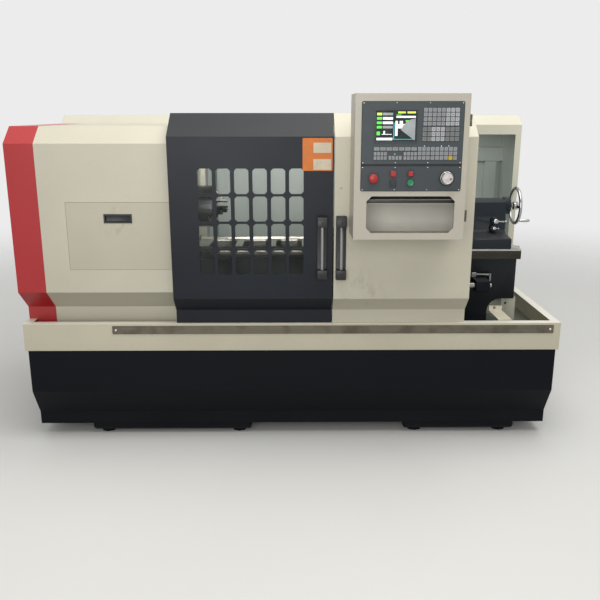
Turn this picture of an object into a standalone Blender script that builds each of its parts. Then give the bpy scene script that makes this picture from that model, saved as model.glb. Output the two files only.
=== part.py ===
"""CNC turning lathe with a flat bed, two sliding doors and a control box.

Metres, +Z up, the operator's side towards -Y. Depths are given from the front face of the chip tray
(D_ names), heights from the floor (Z_ names) and lengths from the middle of the machine (X_ names).
"""
import math

import bmesh
import bpy
from mathutils import Matrix, Vector

# Clearances and sheet thicknesses
FIT = 0.0003
RUN = 0.0005
SHEET = 0.0025
THIN_SHEET = 0.002
PLATE = 0.003
THROUGH = 0.01

# Chip tray: it reaches past the spindle's tail and past the bed's right end
SPINDLE_ROOM = 0.025
BED_END_ROOM = 0.140
TRAY_DEPTH = 1.12
Z_RIM = 0.575
TRAY_BAND = 0.127
TRAY_POOL = 0.100
RIM_WIDTH = 0.036

# Skirt of the base
SKIRT_INSET = 0.012
SKIRT_SETBACK = 0.004
Z_SKIRT_BEND = 0.249
Z_SKIRT_LOWER = 0.120
Z_SKIRT_BOTTOM = 0.059
SKIRT_TUCK = 0.0725

# Pedestals and their levelling feet
LEFT_PEDESTAL_INSET = 0.255
LEFT_PEDESTAL_LENGTH = 0.755
RIGHT_PEDESTAL_INSET = 0.150
RIGHT_PEDESTAL_LENGTH = 0.530
PEDESTAL_SETBACK = 0.085
PEDESTAL_DEPTH = 0.575
PEDESTAL_WALL = 0.022
FOOT_HEIGHT = 0.022
FOOT_RADIUS = 0.036
FOOT_STEM_RADIUS = 0.014
FOOT_INSET = 0.060
ARCH_HEIGHT = 0.045
ARCH_SHARE = 0.5

# Rail strip on the front of the tray
RAIL_INSETS = (0.400, 0.032)
RAIL_HEIGHT = 0.038
RAIL_DROP = 0.010

# Bed
D_BED = 0.200
BED_WIDTH = 0.340
Z_WAYS = 0.874
WAY_FLANGE_HEIGHT = 0.048
WAY_FLANGE_OVERHANG = 0.015
BED_WALL = 0.045
Z_BED_UNDERSIDE = 0.632
BED_HEADSTOCK_LAP = 0.005
X_BED_RIGHT = 1.070
V_WAY_HEIGHT = 0.010
V_WAY_INSET = 0.024
V_WAY_WIDTH = 0.024
LEFT_LEG_INSET = 0.085
LEFT_LEG_LENGTH = 0.540
RIGHT_LEG_INSET = 0.140
RIGHT_LEG_LENGTH = 0.330
LEG_FLARE = 0.060
BED_WINDOWS = 6
BED_WINDOW_LENGTH = 0.125
BED_RIB = 0.035
X_FIRST_WINDOW = -0.400

# Spindle line
Z_AXIS = 1.0555
SPINDLE_RADIUS = 0.045
SPINDLE_SEAT_RADIUS = 0.035
SPINDLE_BORE = 0.026
SPINDLE_FLANGE_RADIUS = 0.068
SPINDLE_FLANGE_LENGTH = 0.020
NOSE_STAND = 0.050
SPINDLE_TAIL = 0.012

# Headstock casting
X_HEADSTOCK_LEFT = -1.040
X_HEADSTOCK_RIGHT = -0.525
Z_HEADSTOCK_SHOULDER = 1.080
Z_HEADSTOCK_TOP = 1.185
HEADSTOCK_TAPER = 0.055
BEARING_CAP_RADIUS = 0.078
BEARING_CAP_LENGTH = 0.016

# Belt drive
PULLEY_STAND = 0.100
PULLEY_WIDTH = 0.066
PULLEY_RADIUS = 0.090
MOTOR_PULLEY_RADIUS = 0.060
PULLEY_FLANGE = 0.006
PULLEY_FLANGE_WIDTH = 0.005
BELT_THICKNESS = 0.008
BELT_GROOVES = 3
GROOVE_DEPTH = 0.006
BED_MOTOR_GAP = 0.032
MOTOR_GUARD_GAP = 0.028
Z_MOTOR = 0.622
MOTOR_RADIUS = 0.090
MOTOR_FIN = 0.007
MOTOR_FINS = 12
MOTOR_PULLEY_STAND = 0.080
MOTOR_LENGTH = 0.260
MOTOR_SHAFT_RADIUS = 0.014
MOTOR_FOOT_WIDTH = 0.170
MOTOR_FOOT_LENGTH = 0.150
MOTOR_FOOT_THICKNESS = 0.014
MOTOR_BELL = 0.035
TERMINAL_BOX = (0.090, 0.070, 0.035)

# Chuck
CHUCK_RADIUS = 0.098
CHUCK_LENGTH = 0.085
BACKPLATE_LENGTH = 0.016
CHUCK_BORE = 0.027
JAW_WIDTH = 0.026
JAW_TONGUE = 0.010
JAW_TONGUE_STEP = 0.006
JAW_REACH = 0.060
JAW_STEPS = 3
JAWS = 3
JAW_INNER = 0.018
JAW_OUTER = 0.082
JAW_SEAT_DEPTH = 0.022
KEY_SQUARE = 0.012
KEY_DEPTH = 0.022

# Covers over the headstock
COVER_FRONT = -0.012
COVER_LIP_DEPTH = 0.090
Z_COVER_LIP = 0.632
Z_COVER_TAPER = 0.723
Z_COVER_SLOPE = 1.365
Z_COVER_TOP = 1.435
COVER_TOP_DEPTH = 0.077
COVER_GUARD_GAP = 0.005
END_COVER_WIDTH = 0.125
COVER_NOSE_GAP = 0.010
NOSE_HOLE_RADIUS = 0.084
COVER_CLEARANCE = 0.006
LOUVRES = 7
LOUVRE_LENGTH = 0.160
LOUVRE_HEIGHT = 0.008
LOUVRE_PITCH = 0.024
Z_LOUVRE = 0.830

# Lift-off hatch
HATCH_INSETS = (0.113, 0.060)
HATCH_HEIGHTS = (0.825, 1.120)
HATCH_GAP = 0.0008
HATCH_FOLD = 0.014
PULL_WIDTH = 0.114
PULL_HEIGHT = 0.032
PULL_DEPTH = 0.018
PULL_INSET = 0.222
Z_PULL = 1.050
PULL_RIM = 0.004
PULL_PROUD = 0.0015
PULL_WALL = 0.003

# Rear guard
GUARD_LIP = 0.050
Z_GUARD_LIP = 1.429
Z_GUARD_TOP = 1.478
GUARD_SLOPE_DEPTH = 0.065
GUARD_POST = 0.030
BEAM_HEIGHTS = (1.220, 1.300)
BEAM_DEPTH = 0.035
STIFFENER_WIDTH = 0.070
STIFFENER_INSET = 0.030
STIFFENER_COUNT = 2

# Electrical cabinet behind the headstock
CABINET_INSET = 0.070
CABINET_LENGTH = 0.630
CABINET_HEIGHTS = (0.700, 1.390)
CABINET_DEPTH = 0.230
CABINET_DOOR_DEPTH = 0.022
CABINET_LAP = 0.018
CABINET_LATCH_RADIUS = 0.012
CABINET_LATCH_LENGTH = 0.012

# Sliding doors: one folded profile
DOOR_FRONT = -0.0486
DOOR_LIP_DEPTH = 0.0134
Z_DOOR_LIP = 0.6355
Z_DOOR_TAPER = 0.701
Z_DOOR_SLOPE = 1.394
Z_DOOR_TOP = 1.489
DOOR_TOP_DEPTH = 0.084
DOOR_ROOF_LAP = 0.040
DOOR_FLANGE = 0.018
DOOR_FLANGE_SHORT = 0.030
LEFT_DOOR_SPAN = (-0.5215, 0.174)
RIGHT_DOOR_SPAN = (0.178, 0.774)

# Window grille of the left door
GRILLE_COLUMNS = 6
GRILLE_ROWS = 4
GRILLE_HOLE_WIDTH = 0.0605
GRILLE_HOLE_HEIGHT = 0.106
GRILLE_HOLE_RADIUS = 0.010
GRILLE_PITCH_X = 0.077
GRILLE_PITCH_Z = 0.1163
X_GRILLE = -0.1755
Z_GRILLE = 1.037
PANE_THICKNESS = 0.005
PANE_MARGIN = 0.018

# Door handles
HANDLE_HEIGHTS = (0.791, 1.067)
HANDLE_WIDTH = 0.044
HANDLE_BLOCK = 0.046
HANDLE_STAND = 0.042
HANDLE_CHANNEL = 0.008
HANDLE_BAR_RADIUS = 0.0085
X_LEFT_HANDLE = 0.1265
X_RIGHT_HANDLE = 0.208
DOOR_HOLE_RADIUS = 0.004
X_DOOR_HOLE = 0.206
Z_DOOR_HOLE = 1.182

# Control box on the right door
BOX_SPAN = (0.242, 0.684)
BOX_HEIGHTS = (0.998, 1.562)
BOX_DEPTH = 0.200
BOX_LID_DEPTH = 0.022
Z_BOX_SHELF = 1.156
PANEL_SPAN = (0.269, 0.660)
PANEL_HEIGHTS = (1.297, 1.531)
OPERATOR_HEIGHTS = (1.193, 1.288)
PANEL_THICKNESS = 0.003
PANEL_LAP = 0.012
POCKET_SPAN = (0.293, 0.642)
POCKET_HEIGHTS = (1.025, 1.171)
POCKET_CHAMFER = 0.020
SCREEN_SPAN = (0.322, 0.477)
SCREEN_HEIGHTS = (1.385, 1.497)
BEZEL = 0.008
BEZEL_PROUD = 0.002
KEYPAD_MARGIN = 0.008
MAT_THICKNESS = 0.0008
KEY_HEIGHT = 0.0016
KEY_TAPER = 0.0005
KEY_GAP = 0.0022
HINGE_RADIUS = 0.005
HINGE_LENGTH = 0.045
HINGE_HEIGHTS = (1.093, 1.462)

# Key fields: span in X, heights, columns, rows
KEY_FIELDS = (
    ((0.504, 0.642), (1.442, 1.508), 8, 4),
    ((0.502, 0.644), (1.384, 1.437), 8, 3),
    ((0.316, 0.483), (1.348, 1.361), 7, 1),
    ((0.316, 0.367), (1.313, 1.343), 4, 2),
    ((0.374, 0.425), (1.313, 1.328), 4, 1),
    ((0.432, 0.484), (1.313, 1.343), 4, 2),
    ((0.487, 0.534), (1.313, 1.362), 3, 3),
    ((0.537, 0.640), (1.313, 1.362), 6, 3),
)

# Operator controls: place in X and height
ESTOP_PLACE = (0.315, 1.242)
ESTOP_RADIUS = 0.018
ESTOP_REACH = 0.030
ESTOP_NECK_RADIUS = 0.011
ESTOP_COLLAR_HEIGHT = 0.008
BUTTON_STEM_RADIUS = 0.007
BUTTON_PROUD = 0.008
SQUARE_BUTTON = 0.021
ROUND_BUTTON_RADIUS = 0.0125
BUTTON_TRAVEL = 0.003
ESTOP_TRAVEL = 0.006
COLLAR = 0.003
COLLAR_HEIGHT = 0.005
RETAINER = 0.0025
STEM_ROOM = 0.002
STOP_BUTTON_PLACE = (0.394, 1.260)
LOCK_BUTTON_PLACE = (0.394, 1.222)
OFF_BUTTON_PLACE = (0.4625, 1.260)
START_BUTTON_PLACE = (0.4625, 1.224)
KNOB_PLACE = (0.604, 1.243)
KNOB_RADIUS = 0.0255
KNOB_LENGTH = 0.022
KNOB_FLUTES = 16
KNOB_FLUTE_DEPTH = 0.0012
DIMPLE_RADIUS = 0.004
DIMPLE_DEPTH = 0.002

# Feed screw along the front of the bed
D_SCREW = 0.150
Z_SCREW = 0.712
SCREW_RADIUS = 0.016
SCREW_JOURNAL_RADIUS = 0.011
SCREW_SPAN = (-0.480, 0.925)
SCREW_NECK = 0.040
BRACKET_SPAN = (0.845, 0.915)
BRACKET_SIZE = 0.054
SERVO_SIZE = 0.110
SERVO_LENGTH = 0.170
SERVO_FLANGE = 0.016
SERVO_CAP = 0.030

# Carriage
SADDLE_SPAN = (0.120, 0.460)
SADDLE_THICKNESS = 0.036
SADDLE_OVERHANG = 0.030
SADDLE_WING = 0.090
SADDLE_BRIDGE_SPAN = (0.200, 0.380)
APRON_THICKNESS = 0.075
APRON_SPAN = (0.190, 0.390)
Z_APRON_BOTTOM = 0.668
GUIDE_WIDTH = 0.110
GUIDE_HEIGHT = 0.018
GUIDE_SLANT = 0.006
CROSS_SLIDE_WIDTH = 0.160
CROSS_SLIDE_HEIGHT = 0.040
CROSS_SLIDE_DEPTHS = (0.110, 0.470)
X_MOTOR_SIZE = 0.084
X_MOTOR_LENGTH = 0.130
TURRET_DEPTH = 0.195
TURRET_BASE_RADIUS = 0.068
TURRET_BASE_HEIGHT = 0.030
TURRET_SIZE = 0.130
TURRET_HEIGHT = 0.080
TURRET_SLOT = 0.022
TURRET_SLOT_DEPTH = 0.024
CLAMP_SCREW_RADIUS = 0.005
CLAMP_SCREW_PROUD = 0.012

# Tailstock
TAIL_SPAN = (0.790, 1.022)
TAIL_TOP = 1.089
TAIL_WIDTH = 0.150
TAIL_BARREL_BOTTOM = 1.010
TAIL_BARREL_WIDTH = 0.096
TAIL_WAIST = 0.110
TAIL_CORNER = 0.012
Z_TAIL_BASE = 0.934
TAIL_CAP_RADIUS = 0.042
TAIL_CAP_LENGTH = 0.024
QUILL_RADIUS = 0.026
QUILL_PROUD = 0.045
QUILL_STOP = 0.037
CENTRE_RADIUS = 0.017
CENTRE_TIP_ANGLE = 60.0
CENTRE_BODY_LENGTH = 0.040
CENTRE_SHANK = 0.080
WHEEL_STAND = 0.056
WHEEL_RADIUS = 0.083
WHEEL_RIM_RADIUS = 0.008
WHEEL_RIM_SIDES = 6
WHEEL_HUB_RADIUS = 0.020
WHEEL_HUB_LENGTH = 0.024
WHEEL_SPOKES = 2
WHEEL_SHAFT_RADIUS = 0.010
SPOKE_WIDTH = 0.016
SPOKE_THICKNESS = 0.008
GRIP_ANGLE = -52.0
GRIP_LENGTH = 0.050
GRIP_RADIUS = 0.008
GRIP_PIN_RADIUS = 0.004
LEVER_INSET = 0.060
Z_LEVER = 0.992
LEVER_LENGTH = 0.050
LEVER_RADIUS = 0.006
LEVER_HUB_RADIUS = 0.013
LOCK_INSET = 0.064
Z_LOCK = 0.958
LOCK_RADIUS = 0.010
FITTING_BOSS_RADIUS = 0.017
FITTING_BOSS_LENGTH = 0.012
FITTING_PIN_RADIUS = 0.005
PIN_DEPTH = 0.022
LOCK_REACH = 0.020
LEVER_KNOB_SHARE = 0.2

# Small fittings at the right end of the bed
PIPE_RADIUS = 0.0055
PIPE_Z = 0.752
PIPE_SPAN = (0.840, 0.930)
PIPE_BLOCK = 0.024
PIPE_DROP = 0.030
END_PLATE_INSET = 0.060
END_PLATE_LENGTH = 0.070
END_PLATE_DEPTHS = (0.260, 0.420)
END_PLATE_TOP = 0.626
END_PLATE_HOLE_RADIUS = 0.007
END_PLATE_HOLE_DROP = 0.028
FOLD_INSET = 0.025
FOLD_LENGTH = 0.110
FOLD_DEPTHS = (0.050, 0.130)
FOLD_HEIGHT = 0.120
FOLD_HOLE_RADIUS = 0.006

# Worked out from the sizes above: depths
D_AXIS = D_BED + BED_WIDTH / 2
D_MOTOR = D_BED + BED_WIDTH + BED_MOTOR_GAP + MOTOR_RADIUS
D_GUARD = D_MOTOR + MOTOR_RADIUS + MOTOR_GUARD_GAP
COVER_BACK = D_GUARD - COVER_GUARD_GAP
DOOR_BACK = D_GUARD + GUARD_SLOPE_DEPTH + DOOR_ROOF_LAP
DOOR_FLANGE_END = D_GUARD - DOOR_FLANGE_SHORT
BOX_FRONT = DOOR_FRONT - FIT - BOX_DEPTH
FRONT_REACH = -BOX_FRONT + PANEL_THICKNESS + FIT + ESTOP_REACH
BACK_REACH = TRAY_DEPTH + FIT + CABINET_DOOR_DEPTH + CABINET_LATCH_LENGTH
Y_TRAY = (FRONT_REACH - BACK_REACH) / 2
Z_TRAY_FLOOR = Z_RIM - TRAY_POOL
Z_BAND_BOTTOM = Z_RIM - TRAY_BAND

# Worked out from the sizes above: lengths, from the headstock outwards
X_BED_LEFT = X_HEADSTOCK_LEFT - BED_HEADSTOCK_LAP
X_PULLEY = X_HEADSTOCK_LEFT - PULLEY_STAND
X_SPINDLE_END = X_PULLEY - PULLEY_WIDTH / 2 - SPINDLE_TAIL
X_TRAY_LEFT = X_SPINDLE_END - SPINDLE_ROOM
X_TRAY_RIGHT = X_BED_RIGHT + BED_END_ROOM
X_NOSE = X_HEADSTOCK_RIGHT + NOSE_STAND
X_COVER_JOIN = X_TRAY_LEFT + END_COVER_WIDTH
X_COVER_RIGHT = X_NOSE + COVER_NOSE_GAP
HATCH_SPAN = (X_COVER_JOIN + HATCH_INSETS[0], X_COVER_RIGHT - HATCH_INSETS[1])
X_PULL = HATCH_SPAN[0] + PULL_INSET
MOTOR_SPAN = (X_PULLEY + MOTOR_PULLEY_STAND, X_PULLEY + MOTOR_PULLEY_STAND + MOTOR_LENGTH)
CABINET_SPAN = (X_TRAY_LEFT + CABINET_INSET, X_TRAY_LEFT + CABINET_INSET + CABINET_LENGTH)
RAIL_SPAN = (X_TRAY_LEFT + RAIL_INSETS[0], X_TRAY_RIGHT - RAIL_INSETS[1])
LEFT_PEDESTAL_SPAN = (
    X_TRAY_LEFT + LEFT_PEDESTAL_INSET, X_TRAY_LEFT + LEFT_PEDESTAL_INSET + LEFT_PEDESTAL_LENGTH,
)
RIGHT_PEDESTAL_SPAN = (
    X_TRAY_RIGHT - RIGHT_PEDESTAL_INSET - RIGHT_PEDESTAL_LENGTH, X_TRAY_RIGHT - RIGHT_PEDESTAL_INSET,
)
LEFT_LEG_SPAN = (X_BED_LEFT + LEFT_LEG_INSET, X_BED_LEFT + LEFT_LEG_INSET + LEFT_LEG_LENGTH)
RIGHT_LEG_SPAN = (X_BED_RIGHT - RIGHT_LEG_INSET - RIGHT_LEG_LENGTH, X_BED_RIGHT - RIGHT_LEG_INSET)
END_PLATE_SPAN = (X_BED_RIGHT - END_PLATE_INSET, X_BED_RIGHT - END_PLATE_INSET + END_PLATE_LENGTH)
FOLD_SPAN = (X_BED_RIGHT - FOLD_INSET - FOLD_LENGTH, X_BED_RIGHT - FOLD_INSET)
QUILL_SPAN = (TAIL_SPAN[0] - QUILL_PROUD, TAIL_SPAN[1] - QUILL_STOP)
X_WHEEL = TAIL_SPAN[1] + WHEEL_STAND
LEVER_PLACE = (TAIL_SPAN[1] - LEVER_INSET, Z_LEVER)
LOCK_PLACE = (TAIL_SPAN[1] - LOCK_INSET, Z_LOCK)
X_CHUCK_BACK = X_NOSE + FIT
X_CHUCK_FACE = X_CHUCK_BACK + BACKPLATE_LENGTH + CHUCK_LENGTH
X_GUIDE = (SADDLE_BRIDGE_SPAN[0] + SADDLE_BRIDGE_SPAN[1]) / 2
Z_SADDLE = Z_WAYS + V_WAY_HEIGHT + SADDLE_THICKNESS
Z_CROSS_SLIDE = Z_SADDLE + RUN + CROSS_SLIDE_HEIGHT

COLOURS = {
    "cream_paint": ((0.60, 0.57, 0.47), 0.45, 0.0),
    "dark_paint": ((0.030, 0.036, 0.045), 0.40, 0.0),
    "red_paint": ((0.50, 0.045, 0.045), 0.40, 0.0),
    "grey_paint": ((0.33, 0.34, 0.33), 0.50, 0.0),
    "ground_iron": ((0.48, 0.47, 0.45), 0.32, 1.0),
    "stainless": ((0.62, 0.60, 0.57), 0.28, 1.0),
    "chrome": ((0.80, 0.80, 0.80), 0.10, 1.0),
    "black_plastic": ((0.015, 0.015, 0.017), 0.45, 0.0),
    "steel": ((0.42, 0.42, 0.43), 0.35, 1.0),
    "panel_grey": ((0.060, 0.068, 0.085), 0.50, 0.0),
    "glass": ((0.70, 0.80, 0.78), 0.05, 0.0),
    "screen": ((0.02, 0.05, 0.05), 0.15, 0.0),
    "key_grey": ((0.33, 0.34, 0.34), 0.60, 0.0),
    "red_plastic": ((0.60, 0.03, 0.03), 0.35, 0.0),
    "green_plastic": ((0.01, 0.30, 0.12), 0.35, 0.0),
    "belt_rubber": ((0.02, 0.02, 0.02), 0.80, 0.0),
    "aluminium": ((0.75, 0.75, 0.76), 0.25, 1.0),
}


def material(name):
    """Return the named Principled material, made on first use."""
    found = bpy.data.materials.get(name)
    if found:
        return found
    colour, roughness, metallic = COLOURS[name]
    made = bpy.data.materials.new(name)
    made.use_nodes = True
    shader = made.node_tree.nodes["Principled BSDF"]
    shader.inputs["Base Color"].default_value = (*colour, 1.0)
    shader.inputs["Roughness"].default_value = roughness
    shader.inputs["Metallic"].default_value = metallic
    made.diffuse_color = (*colour, 1.0)
    return made


def world(x, depth, z):
    """Return the place of a point given by its depth behind the tray's front."""
    return Vector((x, Y_TRAY + depth, z))


def group(name, place, parent=None):
    """Add an empty that carries the pieces of one moving assembly."""
    empty = bpy.data.objects.new(name, None)
    empty.empty_display_size = 0.05
    bpy.context.collection.objects.link(empty)
    origin = Vector(place)
    if parent:
        empty.parent = parent
        empty.location = origin - parent.matrix_world.translation
    else:
        empty.location = origin
    bpy.context.view_layer.update()
    return empty


def add(name, bm, finish, carrier=None, origin=None, smooth=None):
    """Turn a bmesh in world coordinates into an object whose origin lies at the given place."""
    origin = Vector(origin) if origin else (
        carrier.matrix_world.translation.copy() if carrier else Vector()
    )
    bmesh.ops.recalc_face_normals(bm, faces=bm.faces)
    bmesh.ops.translate(bm, verts=bm.verts, vec=-origin)
    mesh = bpy.data.meshes.new(name)
    bm.to_mesh(mesh)
    bm.free()
    mesh.materials.append(material(finish))
    if smooth is not None:
        mesh.shade_smooth()
        mesh.set_sharp_from_angle(angle=math.radians(smooth))
    made = bpy.data.objects.new(name, mesh)
    bpy.context.collection.objects.link(made)
    made.location = origin
    if carrier:
        made.parent = carrier
        made.location = origin - carrier.matrix_world.translation
    return made


def helper(name, bm):
    """Make a hidden object that another one is cut by or joined with."""
    made = add(name, bm, "steel")
    made.hide_render = True
    made.display_type = "WIRE"
    return made


def boolean(target, bm, operation):
    """Add one Boolean modifier, with its own hidden helper object."""
    count = sum(1 for m in target.modifiers if m.type == "BOOLEAN")
    made = target.modifiers.new(f"{operation.lower()}_{count}", "BOOLEAN")
    made.operation = operation
    made.solver = "EXACT"
    made.object = helper(f"{target.name}_{operation.lower()}_{count}", bm)
    return made


def cut(target, *shapes):
    """Take each shape away from the target."""
    for shape in shapes:
        boolean(target, shape, "DIFFERENCE")


def fuse(target, *shapes):
    """Join each shape to the target."""
    for shape in shapes:
        boolean(target, shape, "UNION")


def bevel(target, width, segments=1, angle=40.0):
    """Round the edges that turn by more than the angle."""
    made = target.modifiers.new("edges", "BEVEL")
    made.width = width
    made.segments = segments
    made.limit_method = "ANGLE"
    made.angle_limit = math.radians(angle)
    return made


AXIS_ORDER = {
    "X": lambda a, b, c: Vector((c, Y_TRAY + a, b)),
    "Y": lambda a, b, c: Vector((a, Y_TRAY + c, b)),
    "Z": lambda a, b, c: Vector((a, Y_TRAY + b, c)),
}


def prism(outline, span, axis="X"):
    """Extrude an outline from span[0] to span[1].

    Along X the outline is (depth, height), along Y (x, height) and along Z (x, depth).
    """
    bm = bmesh.new()
    place = AXIS_ORDER[axis]
    start = [bm.verts.new(place(a, b, span[0])) for a, b in outline]
    face = bm.faces.new(start)
    pushed = bmesh.ops.extrude_face_region(bm, geom=[face])["geom"]
    moved = [v for v in pushed if isinstance(v, bmesh.types.BMVert)]
    shift = place(0.0, 0.0, span[1]) - place(0.0, 0.0, span[0])
    bmesh.ops.translate(bm, verts=moved, vec=shift)
    bmesh.ops.recalc_face_normals(bm, faces=bm.faces)
    return bm


def block(xs, depths, heights):
    """Return a plain box between two corners, in X, depth and height."""
    outline = [
        (depths[0], heights[0]),
        (depths[1], heights[0]),
        (depths[1], heights[1]),
        (depths[0], heights[1]),
    ]
    return prism(outline, xs)


def merged(*shapes):
    """Gather separate shapes into one bmesh, for a cutter with several bodies."""
    bm = bmesh.new()
    for shape in shapes:
        mesh = bpy.data.meshes.new("gathered")
        shape.to_mesh(mesh)
        shape.free()
        bm.from_mesh(mesh)
        bpy.data.meshes.remove(mesh)
    return bm


def filleted(points, radius, steps=3, closed=True):
    """Round each corner of an outline with an arc of the given radius."""
    result = []
    count = len(points)
    for index, corner in enumerate(points):
        at_end = not closed and index in (0, count - 1)
        here = Vector(corner)
        if at_end:
            result.append(tuple(here))
            continue
        before = Vector(points[index - 1]) - here
        after = Vector(points[(index + 1) % count]) - here
        angle = before.angle(after)
        reach = min(radius / math.tan(angle / 2), 0.45 * min(before.length, after.length))
        round_radius = reach * math.tan(angle / 2)
        centre = here + (before.normalized() + after.normalized()).normalized() * (
            round_radius / math.sin(angle / 2)
        )
        first = here + before.normalized() * reach - centre
        last = here + after.normalized() * reach - centre
        sweep = first.angle_signed(last)
        for step in range(steps + 1):
            turn = -sweep * step / steps
            result.append((
                centre.x + first.x * math.cos(turn) - first.y * math.sin(turn),
                centre.y + first.x * math.sin(turn) + first.y * math.cos(turn),
            ))
    return result


def offset_line(points, distance, closed=False):
    """Move a line sideways by the distance, to its left, with mitred corners."""
    count = len(points)
    result = []
    for index in range(count):
        here = Vector(points[index])
        has_before = closed or index > 0
        has_after = closed or index < count - 1
        before = (here - Vector(points[index - 1])).normalized() if has_before else None
        after = (Vector(points[(index + 1) % count]) - here).normalized() if has_after else None
        before = before or after
        after = after or before
        normals = Vector((-before.y, before.x)) + Vector((-after.y, after.x))
        normal = normals.normalized()
        stretch = normal.dot(Vector((-after.y, after.x)))
        moved = here + normal * (distance / max(stretch, 0.2))
        result.append(tuple(moved))
    return result


def folded(points, thickness, bend=0.004):
    """Return the closed outline of a folded sheet whose outer face follows the points."""
    outer = filleted(points, bend, steps=2, closed=False)
    inner = offset_line(outer, thickness)
    return outer + inner[::-1]


def rectangle(width, height, centre=(0.0, 0.0), radius=0.0, steps=3):
    """Return a rectangle's outline, with round corners if a radius is given."""
    x, y = centre
    corners = [
        (x - width / 2, y - height / 2),
        (x + width / 2, y - height / 2),
        (x + width / 2, y + height / 2),
        (x - width / 2, y + height / 2),
    ]
    return filleted(corners, radius, steps) if radius else corners


def span_rectangle(xs, zs, radius=0.0, steps=3):
    """Return a rectangle's outline from its limits."""
    centre = ((xs[0] + xs[1]) / 2, (zs[0] + zs[1]) / 2)
    return rectangle(xs[1] - xs[0], zs[1] - zs[0], centre, radius, steps)


def circle(radius, segments=24, centre=(0.0, 0.0)):
    """Return a circle's outline."""
    return [
        (
            centre[0] + radius * math.cos(2 * math.pi * k / segments),
            centre[1] + radius * math.sin(2 * math.pi * k / segments),
        )
        for k in range(segments)
    ]


DIRECTIONS = {
    "X": (Vector((1, 0, 0)), Vector((0, 0, 1))),
    "Y": (Vector((0, 1, 0)), Vector((0, 0, 1))),
    "Z": (Vector((0, 0, 1)), Vector((1, 0, 0))),
}


def turned(profile, centre, axis="X", segments=32, ring=False):
    """Spin a profile of (distance along the axis, radius) once round an axis through the centre."""
    bm = bmesh.new()
    along, out = DIRECTIONS[axis]
    base = Vector(centre)
    verts = [bm.verts.new(base + along * a + out * r) for a, r in profile]
    edges = [bm.edges.new(pair) for pair in zip(verts, verts[1:])]
    if ring:
        edges.append(bm.edges.new((verts[-1], verts[0])))
    bmesh.ops.spin(
        bm, geom=verts + edges, cent=base, axis=along, dvec=(0, 0, 0),
        angle=2 * math.pi, steps=segments, use_merge=True,
    )
    bmesh.ops.remove_doubles(bm, verts=bm.verts, dist=1e-5)
    bmesh.ops.recalc_face_normals(bm, faces=bm.faces)
    return bm


def rod(radius, span, centre, axis="X", segments=24):
    """Return a solid round bar between two distances along an axis through the centre."""
    depth = centre.y - Y_TRAY
    across = {"X": (depth, centre.z), "Y": (centre.x, centre.z), "Z": (centre.x, depth)}
    return prism(circle(radius, segments, across[axis]), span, axis)


def ways_outline(gap=0.0):
    """Return the top of the bed in section, grown by a gap, with a V-way front and back."""
    left = D_BED - gap
    right = D_BED + BED_WIDTH + gap
    top = Z_WAYS + gap
    low = Z_WAYS - WAY_FLANGE_HEIGHT - gap
    points = [(left, low), (right, low), (right, top)]
    for start in (right - V_WAY_INSET, left + V_WAY_INSET + V_WAY_WIDTH):
        points += [
            (start, top),
            (start - V_WAY_WIDTH / 2, top + V_WAY_HEIGHT),
            (start - V_WAY_WIDTH, top),
        ]
    points.append((left, top))
    return points


def seat_on_ways(target):
    """Cut the shape of the ways, with running clearance, out of a piece that sits on the bed."""
    span = (X_BED_LEFT - THROUGH, X_BED_RIGHT + THROUGH)
    cut(target, prism(ways_outline(RUN), span))


def build_base(carrier):
    """Build the skirt, the two pedestals and the chip tray."""
    build_skirt(carrier)
    build_pedestal("left_pedestal", LEFT_PEDESTAL_SPAN, carrier)
    build_pedestal("right_pedestal", RIGHT_PEDESTAL_SPAN, carrier)
    build_tray(carrier)
    x0, x1 = RAIL_SPAN
    z1 = Z_RIM - RAIL_DROP
    strip = prism(
        filleted([(x0, z1 - RAIL_HEIGHT), (x1, z1 - RAIL_HEIGHT), (x1, z1), (x0, z1)], 0.003, 2),
        (-FIT - PLATE, -FIT), "Y",
    )
    add("door_rail", strip, "stainless", carrier)


def build_skirt(carrier):
    """Build the folded skirt that closes the base on four sides."""
    front = SKIRT_SETBACK
    back = TRAY_DEPTH - SKIRT_SETBACK
    top = Z_TRAY_FLOOR - PLATE - FIT
    left, right = X_TRAY_LEFT + SKIRT_INSET, X_TRAY_RIGHT - SKIRT_INSET
    outline = [
        (front, top), (back, top), (back, Z_SKIRT_BOTTOM),
        (front + SKIRT_TUCK, Z_SKIRT_BOTTOM), (front + SKIRT_TUCK, Z_SKIRT_LOWER),
        (front, Z_SKIRT_BEND),
    ]
    skirt = add("base_skirt", prism(outline, (left, right)), "dark_paint", carrier)
    inside = [
        (front + PLATE, top + THROUGH), (back - PLATE, top + THROUGH),
        (back - PLATE, Z_SKIRT_BOTTOM - THROUGH),
        (front + SKIRT_TUCK + PLATE, Z_SKIRT_BOTTOM - THROUGH),
        (front + SKIRT_TUCK + PLATE, Z_SKIRT_LOWER), (front + PLATE, Z_SKIRT_BEND),
    ]
    cut(skirt, prism(inside, (left + PLATE, right - PLATE)))


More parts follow.
